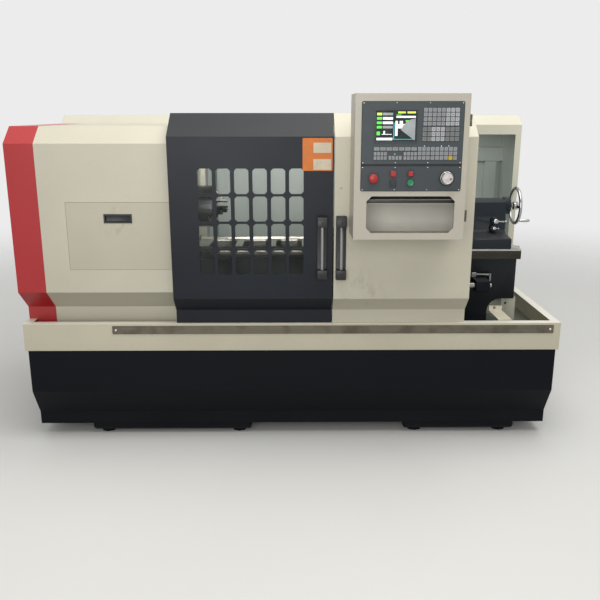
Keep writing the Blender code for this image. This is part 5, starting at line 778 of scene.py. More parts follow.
def block(name: str, low: Spot, high: Spot) -> Blank:
    """Start a piece from a block between two corners."""
    clear_bench()
    low, high = Vector(low), Vector(high)
    bpy.ops.mesh.primitive_cube_add(size=1.0, location=(low + high) / 2)
    bpy.context.object.scale = high - low
    return Blank(name)


def turned(name: str, centre: Spot, axis: Axis, stations: Stations, sides: int = 48) -> Blank:
    """Turn a round piece from a disc, pushed and sized from station to station.

    Args:
        name: The piece's name.
        centre: A point on its axis that the stations are measured from.
        axis: The direction it is turned about.
        stations: Distance along the axis and radius, from one end to the other.
        sides: How many sides its circle has.

    Returns:
        The closed piece.
    """
    clear_bench()
    along, radius = stations[0]
    spot = Vector(centre) + axis.along * along
    bpy.ops.mesh.primitive_circle_add(
        vertices=sides, radius=radius, fill_type="NGON", location=spot, rotation=axis.tilt
    )
    piece = Blank(name)
    piece.pick(lambda *_: True)
    for reach, wide in stations[1:]:
        step = axis.along * (reach - along)
        piece.push(step)
        spot += step
        if wide != radius:
            piece.size((wide / radius,) * 3, spot)
        along, radius = reach, wide
    return piece.close()


def dot(name: str, place: Spot, apply: bool = True) -> Blank:
    """Start a piece from a single point, and stay in edit mode."""
    clear_bench()
    bpy.ops.mesh.primitive_plane_add(size=0.01, location=place)
    piece = Blank(name, apply)
    piece.open()
    bpy.ops.mesh.select_mode(type="VERT")
    bpy.ops.mesh.select_all(action="SELECT")
    bpy.ops.mesh.merge(type="CENTER")
    return piece


def outlined(name: str, points: Sequence[Spot], shift: Spot) -> Blank:
    """Draw an outline point by point, fill it and push it out.

    Args:
        name: The piece's name.
        points: The outline's corners in order, in one plane.
        shift: How far and which way it is pushed.

    Returns:
        The closed piece.
    """
    piece = dot(name, points[0])
    for before, after in zip(points, points[1:]):
        step = Vector(after) - Vector(before)
        bpy.ops.mesh.extrude_vertices_move(TRANSFORM_OT_translate={"value": tuple(step)})
    bpy.ops.mesh.select_all(action="SELECT")
    bpy.ops.mesh.edge_face_add()
    piece.push(shift)
    return piece.close()


def softened(node: str, width: float, finish: Finish, body: str, angle: float = 35.0) -> Blank:
    """Copy a casting's solid, merge its corners, round its edges and put it in the solid's place."""
    clear_bench()
    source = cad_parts[node]
    copy = bpy.data.objects.new(f"{node}_casting", source.data.copy())
    bpy.context.collection.objects.link(copy)
    copy.select_set(True)
    bpy.context.view_layer.objects.active = copy
    bpy.ops.mesh.customdata_custom_splitnormals_clear()
    piece = Blank(f"{node}_casting", apply=False)
    piece.open()
    bpy.ops.mesh.select_all(action="SELECT")
    bpy.ops.mesh.remove_doubles(threshold=1e-5)
    bpy.ops.mesh.dissolve_limited(angle_limit=math.radians(0.5))
    piece.close()
    piece.soften(width, 2, angle)
    return piece.coat(finish, 40.0).fix(body, node)


def joined(name: str, pieces: Sequence[Blank]) -> Blank:
    """Join pieces into one, keeping each one's finish."""
    clear_bench()
    for piece in pieces:
        piece.body.select_set(True)
    bpy.context.view_layer.objects.active = pieces[0].body
    bpy.ops.object.join()
    pieces[0].body.name = name
    return pieces[0]


def screw_heads(
    name: str, spots: Sequence[Spot], radius: float, body: str, finish: Finish = SCREW_CHROME
) -> Blank:
    """Set small socket screws that face the operator.

    Args:
        name: The joined piece's name.
        spots: The middle of each head's back.
        radius: The heads' radius.
        body: The body that they ride on.
        finish: Their finish.

    Returns:
        The joined piece.
    """
    high = radius * 0.7
    stations = [(0.0, radius), (-high * 0.55, radius), (-high * 0.9, radius * 0.86), (-high, radius * 0.66)]
    first = turned(f"{name}_0", spots[0], Axis.Y, stations, 16)
    tip = Vector(spots[0]).y - high
    first.pick(lambda middle, _: abs(middle.y - tip) < 1e-6)
    first.inset(radius * 0.3).push((0.0, high * 0.6, 0.0)).close()
    first.coat(finish, 50.0)
    heads = [first]
    for count, spot in enumerate(spots[1:], 1):
        heads.append(first.copy(f"{name}_{count}", Matrix.Translation(Vector(spot) - Vector(spots[0]))))
    return joined(name, heads).fix(body)


# Sub-assemblies


@dataclass
class Assembly:
    """A sub-assembly of the lathe that dresses solids and adds its own pieces."""

    def build(self) -> None:
        """Build every piece of the sub-assembly."""
        raise NotImplementedError

    @staticmethod
    def dress(finish: Finish, *nodes: str) -> None:
        """Give a finish to solids whose shape is already right."""
        made = finish.make()
        for node in nodes:
            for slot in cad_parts[node].material_slots:
                slot.material = made
            LOG.info("%s dressed in %s", node, finish.name)


@dataclass
class Base(Assembly):
    """The skirt, the pedestals, the chip tray with its rail strip and bracket, and the bed's end plate."""

    rail_screw_radius: float = 0.0055
    rail_screw_inset: float = 0.016
    bracket_span: tuple[float, float] = (0.9165, 0.9775)
    bracket_top: float = 0.620
    bracket_fold: float = 0.596
    bracket_nose: float = 0.576
    bracket_reach: float = 0.084
    bracket_skew: float = 0.022
    bracket_sheet: float = 0.002
    bracket_hole: float = 0.006

    def build(self) -> None:
        """Dress the base, set the rail's end screws and build the bracket."""
        self.dress(SKIRT_DARK, "base_skirt", "left_pedestal", "right_pedestal")
        self.dress(TRAY_CREAM, "chip_tray")
        self.dress(RAIL_STEEL, "door_rail")
        low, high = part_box("door_rail")
        middle = (low.z + high.z) / 2
        ends = (low.x + self.rail_screw_inset, high.x - self.rail_screw_inset)
        screw_heads("rail_screws", [(x, low.y, middle) for x in ends], self.rail_screw_radius, "frame")
        self.dress(PLATE_GREY, "bed_end_plate")
        self.build_bracket()

    def build_bracket(self) -> None:
        """Build the folded bracket: a short upright, an arm that leans to the right, and its leg."""
        low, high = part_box("tray_bracket")
        sheet = self.bracket_sheet
        back, nose = high.y, high.y - self.bracket_reach
        x0, x1 = self.bracket_span
        outline = [
            (back, self.bracket_top), (back, self.bracket_fold), (nose, self.bracket_nose), (nose, low.z),
            (nose - sheet, low.z), (nose - sheet, self.bracket_nose + sheet),
            (back - sheet, self.bracket_fold + sheet), (back - sheet, self.bracket_top),
        ]
        bracket = outlined("folded_bracket", [(x0, y, z) for y, z in outline], (x1 - x0, 0.0, 0.0))
        middle = (nose + back) / 2
        bracket.pick_edges(lambda place, way: place.y < middle and abs(way.x) > 0.9)
        bpy.ops.transform.translate(value=(self.bracket_skew, 0.0, 0.0))
        bracket.close()
        spot = (x0 + (x1 - x0) * 0.4, back, (self.bracket_top + self.bracket_fold) / 2 + sheet)
        reach, hole = 3 * sheet, self.bracket_hole
        bracket.cut(turned("bracket_hole", spot, Axis.Y, [(-reach, hole), (reach, hole)], 24))
        bracket.soften(0.0005, 2).coat(BRACKET_CREAM).fix("frame", "tray_bracket")


@dataclass
class Covers(Assembly):
    """The covers over the headstock, the rear guard and the electrical cabinet."""

    pull_rim: float = 0.004
    pull_lip: float = 0.0015
    pull_wall: float = 0.003
    pull_floor: float = 0.002

    def build(self) -> None:
        """Dress the sheet metal and build the hatch's pull."""
        self.dress(COVER_RED, "left_end_cover")
        self.dress(COVER_CREAM, "headstock_cover")
        self.dress(HATCH_CREAM, "headstock_hatch")
        self.dress(GUARD_CREAM, "rear_guard")
        self.dress(PLAIN_CREAM, "cabinet_door")
        self.dress(CABINET_GREY, "electrical_cabinet")
        self.build_pull()

    def build_pull(self) -> None:
        """Build the black recessed pull with its rim and its hollow."""
        low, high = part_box("hatch_pull")
        rim = Vector((self.pull_rim, 0.0, self.pull_rim))
        pull = block("hatch_pull_cup", low + rim, high - rim)
        lip = low.y + self.pull_lip
        pull.open()
        bpy.ops.mesh.select_all(action="SELECT")
        bpy.ops.mesh.bisect(plane_co=(0.0, lip, 0.0), plane_no=(0.0, 1.0, 0.0))
        pull.pick(lambda middle, way: middle.y < lip and abs(way.y) < 0.1)
        middle = (low + high) / 2
        inner = high - low - 2 * rim
        pull.push((0.0, 0.0, 0.0))
        pull.size(((high.x - low.x) / inner.x, 1.0, (high.z - low.z) / inner.z), middle)
        pull.pick(
            lambda place, way: faces_operator(place, way) and abs(place.x - middle.x) < inner.x * 0.4
            and abs(place.z - middle.z) < inner.z * 0.4
        )
        pull.inset(self.pull_wall).push((0.0, high.y - low.y - self.pull_floor, 0.0)).close()
        pull.soften(0.0012, 2).coat(BLACK_PLASTIC).fix("hatch", "hatch_pull")


@dataclass
class Doors(Assembly):
    """The two sliding doors, their handles, the window pane and the plain field over the left handle."""

    handle_block: float = 0.046
    handle_channel: float = 0.008
    handle_nose: float = 0.010
    handle_screw_inset: float = 0.026
    handle_screw_radius: float = 0.0042
    label_span: tuple[float, float] = (0.043, 0.168)
    label_heights: tuple[float, float] = (1.255, 1.389)
    label_thickness: float = 0.0004
    pale_heights: tuple[tuple[float, float], ...] = ((0.03, 0.36), (0.55, 0.86))
    pale_start: float = 0.36
    pale_margin: float = 0.006

    def build(self) -> None:
        """Dress the doors and build what is fixed on them."""
        self.dress(DOOR_DARK, "left_door")
        self.dress(DOOR_CREAM, "right_door")
        self.dress(PANE_GLASS, "door_window")
        self.dress(BAR_METAL, "left_handle_bar", "right_handle_bar")
        self.build_handle("left_handle", "left_door_group")
        self.build_handle("right_handle", "right_door_group")
        self.build_label()

    def build_handle(self, node: str, body: str) -> None:
        """Build one handle: a moulded channel with an end block above and below the bar.

        Args:
            node: The solid that the handle replaces.
            body: The door's body.
        """
        low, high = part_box(node)
        nose, end = self.handle_nose, self.handle_block
        channel = high.y - self.handle_channel
        profile = [
            (high.y, low.z), (high.y, high.z), (low.y + nose * 1.6, high.z),
            (low.y + nose * 0.5, high.z - nose * 0.4), (low.y, high.z - nose * 1.3), (low.y, high.z - end),
            (channel, high.z - end), (channel, low.z + end), (low.y, low.z + end),
            (low.y, low.z + nose * 1.3), (low.y + nose * 0.5, low.z + nose * 0.4),
            (low.y + nose * 1.6, low.z),
        ]
        points = [(low.x, y, z) for y, z in profile]
        handle = outlined(f"{node}_moulding", points, (high.x - low.x, 0.0, 0.0))
        handle.soften(0.0032, 3).coat(BLACK_PLASTIC).fix(body, node)
        middle = (low.x + high.x) / 2
        inset = self.handle_screw_inset
        spots = [(middle, low.y, z) for z in (low.z + inset, high.z - inset)]
        screw_heads(f"{node}_screws", spots, self.handle_screw_radius, body, BLACK_PLASTIC)

    def build_label(self) -> None:
        """Lay the bare orange field with its two pale areas on the left door."""
        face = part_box("left_door")[0].y - self.label_thickness
        x0, x1 = self.label_span
        z0, z1 = self.label_heights
        base = block("plain_field", (x0, face, z0), (x1, face + self.label_thickness * 1.2, z1))
        base.corners(Axis.Y, 0.004).coat(FIELD_ORANGE)
        areas = [base]
        start = x0 + (x1 - x0) * self.pale_start
        for low, high in self.pale_heights:
            area = block(
                f"pale_area_{low}", (start, face - 0.0001, z0 + (z1 - z0) * low),
                (x1 - self.pale_margin, face + 0.0001, z0 + (z1 - z0) * high),
            )
            areas.append(area.corners(Axis.Y, 0.002).coat(FIELD_WHITE))
        joined("plain_field", areas).fix("left_door_group")


@dataclass
class KeyField:
    """One group of keys on the control panel.

    A continued group runs on into the next one at its right. A yellow column has a yellow key at its foot.
    """

    span: tuple[float, float]
    heights: tuple[float, float]
    columns: int
    rows: int
    finish: Finish = KEY_MID
    continued: bool = False
    yellow: Optional[int] = None


@dataclass
class ControlBox(Assembly):
    """The control box with its panel, display, keys, push buttons and hand dial."""

    gap: float = 0.0022
    key_height: float = 0.0021
    plate_face: float = -0.68825
    plate_back: float = -0.68525
    stem_radius: float = 0.007
    stem_collar: float = 0.0095
    cap_gap: float = 0.0035
    crown_gap: float = 0.0065
    neck_radius: float = 0.011
    screw_radius: float = 0.0021
    screw_columns: tuple[float, ...] = (0.2745, 0.401, 0.528, 0.6545)
    screw_rows: tuple[float, ...] = (1.5265, 1.3015, 1.2835, 1.1975)
    fields: tuple[KeyField, ...] = (
        KeyField((0.504, 0.590), (1.442, 1.508), 5, 4, continued=True),
        KeyField((0.590, 0.642), (1.442, 1.508), 3, 4, KEY_LIGHT),
        KeyField((0.502, 0.537), (1.384, 1.437), 2, 3, KEY_DARK),
        KeyField((0.537, 0.590), (1.384, 1.437), 3, 3, KEY_LIGHT, continued=True),
        KeyField((0.590, 0.644), (1.384, 1.437), 3, 3, KEY_DARK),
        KeyField((0.316, 0.483), (1.348, 1.361), 7, 1),
        KeyField((0.316, 0.367), (1.313, 1.343), 4, 2),
        KeyField((0.374, 0.425), (1.313, 1.328), 4, 1),
        KeyField((0.432, 0.484), (1.313, 1.343), 4, 2),
        KeyField((0.487, 0.534), (1.313, 1.362), 3, 3),
        KeyField((0.537, 0.640), (1.313, 1.362), 6, 3, yellow=4),
    )
    display_rows: int = 4
    display_cuts: int = 47
    display_areas: tuple[tuple[Finish, float, float, float, float], ...] = (
        (GREEN_LIGHT, 0.02, 0.10, 0.18, 0.31),
        (WHITE_LIGHT, 0.02, 0.42, 0.03, 0.10),
        (WHITE_LIGHT, 0.14, 0.40, 0.20, 0.23),
        (WHITE_LIGHT, 0.19, 0.22, 0.20, 0.33),
        (LIME_LIGHT, 0.55, 0.73, 0.91, 0.97),
        (LIME_LIGHT, 0.77, 0.98, 0.91, 0.97),
        (WHITE_LIGHT, 0.50, 0.97, 0.78, 0.84),
        (GREEN_LIGHT, 0.50, 0.62, 0.86, 0.88),
        (GREEN_LIGHT, 0.72, 0.88, 0.64, 0.68),
        (CYAN_LIGHT, 0.44, 0.46, 0.04, 0.60),
        (CYAN_LIGHT, 0.46, 0.98, 0.04, 0.07),
        (WHITE_LIGHT, 0.47, 0.55, 0.16, 0.66),
        (WHITE_LIGHT, 0.55, 0.72, 0.42, 0.56),
        (WHITE_LIGHT, 0.58, 0.66, 0.56, 0.66),
    )
    gasket_and_shade_edge: float = 0.0022
    dial_ring_and_shade: float = 0.0052
    dial_sides: int = 72
    frame_edge: float = 0.0042
    mark_inset: float = 0.0034
    mark_reach: float = 0.0003
    film_edge: float = 0.0012
    lamp_spots: tuple[tuple[float, float], ...] = (
        (0.398, 1.3345), (0.512, 1.3655), (0.578, 1.3655), (0.606, 1.3655), (0.404, 1.3715)
    )
    off_margin: float = 0.003
    red_lamp_height: float = 1.37
    shelf_inset: float = 0.004
    shelf_low: float = 1.1385
    shelf_high: float = 1.1535
    body: str = "control_front_group"

    def build(self) -> None:
        """Dress the box and build everything on its front."""
        self.dress(BOX_CREAM_LIT_POCKET, "control_box")
        self.dress(LID_CREAM, "control_front")
        self.dress(PANEL_FILM, "control_panel")
        self.dress(PLATE_FILM, "operator_plate")
        self.build_gasket_and_gap_shade()
        self.build_display_frame()
        self.build_shelf_edge()
        spots = [(x, self.plate_face, z) for z in self.screw_rows for x in self.screw_columns]
        screw_heads("panel_screws", spots, self.screw_radius, self.body)
        self.build_display()
        for index, group in enumerate(self.fields):
            self.build_keys(index, group)
        self.build_lamps()
        self.build_mushroom()
        self.build_square("off_button", "off", RED_BUTTON, self.off_margin)
        self.build_round("start_button", "start", GREEN_BUTTON)
        self.build_square("stop_button", "stop", RED_BUTTON)
        self.build_square("lock_button", "lock", BLACK_PLASTIC)
        self.build_dial()

    def build_gasket_and_gap_shade(self) -> None:
        """Build the dark gasket that shows round both plates and between them; it also stands in as painted
        shade for the shadowed gap there.
        """
        low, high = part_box("operator_plate")[0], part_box("control_panel")[1]
        edge = self.gasket_and_shade_edge
        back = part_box("control_front")[0].y - 0.0001
        # Partly a gasket, partly painted shade of the shadowed gap round and between the plates
        gasket_and_gap_shade = block(
            "panel_gasket_and_gap_shade", (low.x - edge, self.plate_back - 0.0006, low.z - edge),
            (high.x + edge, back, high.z + edge),
        )
        gasket_and_gap_shade.corners(Axis.Y, 0.007).soften(0.0003, 2).coat(GASKET_AND_SHADE_FILM).fix(self.body)

    def build_display_frame(self) -> None:
        """Build the thin black frame round the display."""
        low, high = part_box("screen")
        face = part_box("control_panel")[0].y
        edge = Vector((self.frame_edge, 0.0, self.frame_edge))
        frame_piece = block(
            "display_frame", Vector((low.x, face - 0.0007, low.z)) - edge,
            Vector((high.x, face - 0.0001, high.z)) + edge,
        )
        frame_piece.cut(block("frame_hole", (low.x, face - 0.01, low.z), (high.x, face + 0.01, high.z)))
        frame_piece.soften(0.0002, 2).coat(BLACK_PLASTIC).fix(self.body)

    def build_shelf_edge(self) -> None:
        """Build a black strip over the pocket shelf, painted shade standing in for the dark gap into the
        chamber above, and the folded lip under it.
        """
        low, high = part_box("control_box")
        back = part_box("control_front")[1].y + 0.0015
        x0, x1 = low.x + self.shelf_inset, high.x - self.shelf_inset - 0.010
        fold = self.shelf_low + 0.003
        # Painted shade: a black strip where only the dark gap above the shelf shows
        gap_shade_strip = block("shelf_gap_shade", (x0, back, fold), (x1, back + 0.004, self.shelf_high))
        gap_shade_strip.soften(0.0008, 2).coat(BLACK_PLASTIC)
        lip = block("shelf_lip", (x0, back - 0.0005, self.shelf_low), (x1, back + 0.014, fold))
        lip.soften(0.0008, 2).coat(BOX_CREAM_LIT_POCKET)
        joined("shelf_edge", [gap_shade_strip, lip]).fix("right_door_group")

    def build_display(self) -> None:
        """Build the display with plain bars, a part's outline and a soft key row on its face."""
        low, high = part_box("screen")
        display = block("display", low, high)
        display.pick(faces_operator)
        bpy.ops.mesh.subdivide(number_cuts=self.display_cuts)
        display.close().coat(DARK_DISPLAY)
        wide, tall = high.x - low.x, high.z - low.z

        def area(x0: float, x1: float, z0: float, z1: float) -> Test:
            """Return a test for faces inside an area given in shares of the display."""
            return lambda middle, way: (
                faces_operator(middle, way)
                and x0 < (middle.x - low.x) / wide < x1 and z0 < (middle.z - low.z) / tall < z1
            )

        for row in range(self.display_rows):
            start = 0.90 - row * 0.145
            name_tone = LIME_LIGHT if row == 0 else GREEN_LIGHT
            bar_tone = GREY_LIGHT if row in (0, self.display_rows - 1) else WHITE_LIGHT
            display.touch_up(name_tone, area(0.02, 0.14, start - 0.045, start + 0.045))
            display.touch_up(bar_tone, area(0.16, 0.42, start - 0.05, start + 0.03))
        for finish, *sides in self.display_areas:
            display.touch_up(finish, area(*sides))

        def swept(middle: Vector, way: Vector) -> bool:
            """Tell whether a face lies in the drawn part's grey sector."""
            x, z = (middle.x - low.x) / wide, (middle.z - low.z) / tall
            edge = 0.98
            near = (x - edge) ** 2 + ((z - 0.24) * 0.72) ** 2 < 0.13
            return faces_operator(middle, way) and near and x < edge and z > edge - x

        display.touch_up(GREY_LIGHT, swept)
        display.fix(self.body, "screen")

    def build_keys(self, index: int, group: KeyField) -> None:
        """Build one group of dished keys on its own film.

        Args:
            index: The group's number, for its name.
            group: Where it lies and how many keys it has.
        """
        (x0, x1), (z0, z1) = group.span, group.heights
        wide = (x1 - x0 + (0.0 if group.continued else self.gap)) / group.columns
        high = (z1 - z0 + self.gap) / group.rows
        back = self.plate_face - 0.0009
        front = back - self.key_height
        right, top = x0 + wide - self.gap, z0 + high - self.gap
        key = block(f"keys_{index}", (x0, front, z0), (right, back + 0.0003, top))
        middle = Vector((x0 + (wide - self.gap) / 2, front, z0 + (high - self.gap) / 2))
        key.pick(faces_operator)
        key.size((0.92, 1.0, 0.92), middle).inset(0.0009)
        bpy.ops.transform.translate(value=(0.0, 0.0003, 0.0))
        key.inset(min(self.mark_inset, (high - self.gap) * 0.24)).size((0.8, 1.0, 0.5), middle)
        key.close().soften(0.0003, 2, 20.0)
        key.repeat(group.columns, (wide, 0.0, 0.0)).repeat(group.rows, (0.0, 0.0, high))
        key.coat(group.finish, 30.0)
        if group.yellow is not None:
            left, right = (x0 + column * wide for column in (group.yellow, group.yellow + 1))
            key.touch_up(KEY_YELLOW, lambda place, _: left < place.x < right and place.z < z0 + high)
        half_wide, half_high = (wide - self.gap) / 2, (high - self.gap) / 2

        def marked(place: Vector, way: Vector) -> bool:
            """Tell whether a face is the small mark in the middle of a key."""
            aside = abs((place.x - x0) % wide - half_wide)
            above = abs((place.z - z0) % high - half_high)
            return faces_operator(place, way) and max(aside, above) < self.mark_reach

        key.touch_up(KEY_MARK, marked)
        edge, face = self.film_edge, self.plate_face - 0.0002
        film = block(f"film_{index}", (x0 - edge, back, z0 - edge), (x1 + edge, face, z1 + edge))
        film.corners(Axis.Y, edge).coat(FIELD_FILM)
        joined(f"key_group_{index}", [key, film]).fix(self.body, "keypad")

    def build_lamps(self) -> None:
        """Build the small indicator lamps over the keys."""
        stations = [(0.0, 0.0016), (-0.0008, 0.0016), (-0.0014, 0.0012), (-0.0018, 0.0006)]
        domes = []
        for count, (x, z) in enumerate(self.lamp_spots):
            dome = turned(f"lamp_{count}", (x, self.plate_face - 0.0001, z), Axis.Y, stations, 16)
            domes.append(dome.coat(WHITE_LIGHT if z < self.red_lamp_height else RED_BUTTON, 60.0))
        joined("indicator_lamps", domes).fix(self.body)

    def stem(self, head: float) -> list[tuple[float, float]]:
        """Return the stations of a control's stem, from behind the plate to the back of its head."""
        inner = self.plate_back + 0.0005
        return [
            (inner + 0.003, self.stem_collar), (inner, self.stem_collar), (inner, self.stem_radius),
            (head, self.stem_radius),
        ]

    def middle_of(self, node: str) -> Vector:
        """Return a control's middle, on its own axis and with no depth."""
        low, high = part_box(node)
        return Vector(((low.x + high.x) / 2, 0.0, (low.z + high.z) / 2))

    def build_mushroom(self) -> None:
        """Build the red mushroom with its rounded crown and turning marks."""
        low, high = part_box("estop_button")
        tip, radius = low.y, (high.x - low.x) / 2
        neck, thin = self.plate_face - self.crown_gap, self.neck_radius
        stations = self.stem(neck) + [
            (neck, thin), (tip + 0.0145, thin), (tip + 0.0135, radius * 0.93), (tip + 0.012, radius),
            (tip + 0.0062, radius), (tip + 0.0044, radius * 0.965), (tip + 0.0028, radius * 0.88),
            (tip + 0.0014, radius * 0.72), (tip + 0.0005, radius * 0.5), (tip, radius * 0.26),
        ]
        crown = turned("mushroom_crown", self.middle_of("estop_button"), Axis.Y, stations)
        crown.coat(RED_BUTTON, 50.0).fix("estop", "estop_button")

    def build_round(self, node: str, body: str, finish: Finish) -> None:
        """Build a round push button with a dished cap.

        Args:
            node: The solid that it replaces.
            body: The body that it rides on.
            finish: The cap's finish.
        """
        low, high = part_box(node)
        tip, radius = low.y, (high.x - low.x) / 2
        head = self.plate_face - self.cap_gap
        stations = self.stem(head) + [
            (head, radius), (tip + 0.0016, radius), (tip + 0.0005, radius - 0.0006), (tip, radius - 0.0018),
            (tip + 0.0006, radius - 0.0036), (tip + 0.0010, radius * 0.35),
        ]
        turned(f"{node}_cap", self.middle_of(node), Axis.Y, stations).coat(finish, 50.0).fix(body, node)

    def build_square(self, node: str, body: str, finish: Finish, margin: float = 0.0) -> None:
        """Build a square push button with a raised lens.

        Args:
            node: The solid that it replaces.
            body: The body that it rides on.
            finish: The cap's finish.
            margin: How far its sides stay inside the solid's, to clear a round collar.
        """
        low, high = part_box(node)
        head = self.plate_face - self.cap_gap
        cap = block(
            f"{node}_cap", (low.x + margin, low.y, low.z + margin), (high.x - margin, head, high.z - margin)
        )
        cap.corners(Axis.Y, 0.0032, 4)
        cap.pick(faces_operator)
        cap.inset(0.0014)
        cap.inset(0.0006, 0.0008).close()
        cap.soften(0.0003, 2, 40.0).coat(finish, 12.0)
        stem = turned(f"{node}_stem", self.middle_of(node), Axis.Y, self.stem(head - 0.001), 24)
        joined(f"{node}_cap", [cap, stem.coat(BLACK_PLASTIC)]).fix(body, node)

    def build_dial(self) -> None:
        """Build the hand dial: a fluted chrome skirt, a bright disc and a finger hollow, and a black ring
        round its foot that is partly a bezel and partly painted shade.
        """
        low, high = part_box("pulse_knob")
        radius = (high.x - low.x) / 2
        centre = self.middle_of("pulse_knob")
        base = self.plate_face - 0.002
        tip = low.y
        skirt = turned("dial_skirt", centre, Axis.Y, self.stem(base) + [
            (base, radius - 0.0002), (base - 0.006, radius - 0.0002), (base - 0.007, radius - 0.0014),
        ], self.dial_sides)

        def fluted(middle: Vector, way: Vector) -> bool:
            """Tell whether a face is one of the skirt's flutes, on every third side."""
            side = math.atan2(middle.z - centre.z, middle.x - centre.x) / math.tau * self.dial_sides
            return abs(way.y) < 0.3 and -0.0065 < middle.y - base < -0.0005 and round(side - 0.5) % 3 == 0

        skirt.pick(fluted)
        skirt.inset(0.0002, -0.0006).close()
        skirt.coat(CHROME, 30.0)
        disc = turned("dial_disc", centre, Axis.Y, [
            (base - 0.0068, radius - 0.0022), (base - 0.0075, radius - 0.0022),
            (tip + 0.0035, radius - 0.003), (tip + 0.0016, radius - 0.0036),
            (tip + 0.0008, radius - 0.0052), (tip + 0.0014, radius - 0.0062),
            (tip + 0.0012, radius * 0.2), (tip + 0.0004, radius * 0.12),
        ], self.dial_sides).coat(CHROME, 30.0)
        inner = radius - 0.0058
        disc.touch_up(KNOB_FACE, lambda middle, way: (
            faces_operator(middle, way) and (middle - centre).xz.length < inner
        ))
        hollow = turned(
            "dial_hollow", centre + Vector((radius * 0.52, 0.0, -radius * 0.1)), Axis.Y,
            [(tip + 0.002, 0.0042), (tip + 0.0004, 0.0042), (tip, 0.0038), (tip + 0.0002, 0.0032),
             (tip + 0.0016, 0.0020)], 24,
        ).coat(BLACK_PLASTIC, 50.0)
        joined("hand_dial", [skirt, disc, hollow]).fix("dial", "pulse_knob")
        # Black ring round the dial's foot: partly a bezel, partly painted shade under the dial
        face, bore, reach = self.plate_face, radius + 0.0006, radius + self.dial_ring_and_shade
        ring_and_shade = turned("dial_ring_and_shade", centre, Axis.Y, [
            (face - 0.0017, bore), (face - 0.0017, reach), (face - 0.0030, reach),
            (face - 0.0038, reach - 0.0010), (face - 0.0038, radius + 0.0014), (face - 0.0032, bore),
        ], self.dial_sides)
        ring_and_shade.pick(lambda middle, way: abs(way.y) > 0.9 and (middle - centre).xz.length < radius)
        bpy.ops.mesh.bridge_edge_loops()
        ring_and_shade.close().coat(BLACK_PLASTIC, 40.0).fix(self.body)


@dataclass
class Headstock(Assembly):
    """The headstock casting, the spindle with its chuck, the belt drive and the main motor."""

    bolt_circle: float = 0.066
    bolt_radius: float = 0.0065

    def build(self) -> None:
        """Dress and build the drive from the motor to the chuck."""
        softened("headstock", 0.004, CAST_DARK, "frame")
        softened("main_motor", 0.0015, MOTOR_GREY, "frame")
        self.dress(TURNED_STEEL, "spindle")
        self.dress(PULLEY_METAL, "spindle_pulley", "motor_pulley")
        self.dress(CHUCK_STEEL, "chuck_body")
        self.dress(JAW_STEEL, "jaw_1", "jaw_2", "jaw_3")
        self.dress(BELT_RUBBER, "drive_belt")
        self.build_bolts()

    def build_bolts(self) -> None:
        """Set the chuck's face screws between its jaws."""
        low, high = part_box("chuck_body")
        centre = Vector((high.x, (low.y + high.y) / 2, (low.z + high.z) / 2))
        stations = [
            (-0.004, self.bolt_radius), (0.0035, self.bolt_radius), (0.0045, self.bolt_radius * 0.86),
            (0.0045, self.bolt_radius * 0.55), (0.001, self.bolt_radius * 0.5),
        ]
        start = centre + Vector((0.0, 0.0, self.bolt_circle))
        first = turned("chuck_bolt_0", start, Axis.X, stations, 18).coat(JAW_STEEL, 40.0)
        bolts = []
        for count in range(6):
            angle = math.radians((count // 2) * 120 + (42 if count % 2 else 78))
            placed = Matrix.Translation(centre) @ Matrix.Rotation(angle, 4, "X") @ Matrix.Translation(-centre)
            bolts.append(first.copy(f"chuck_bolt_{count + 1}", placed))
        bpy.data.objects.remove(first.body)
        joined("chuck_bolts", bolts).fix("spindle_group")


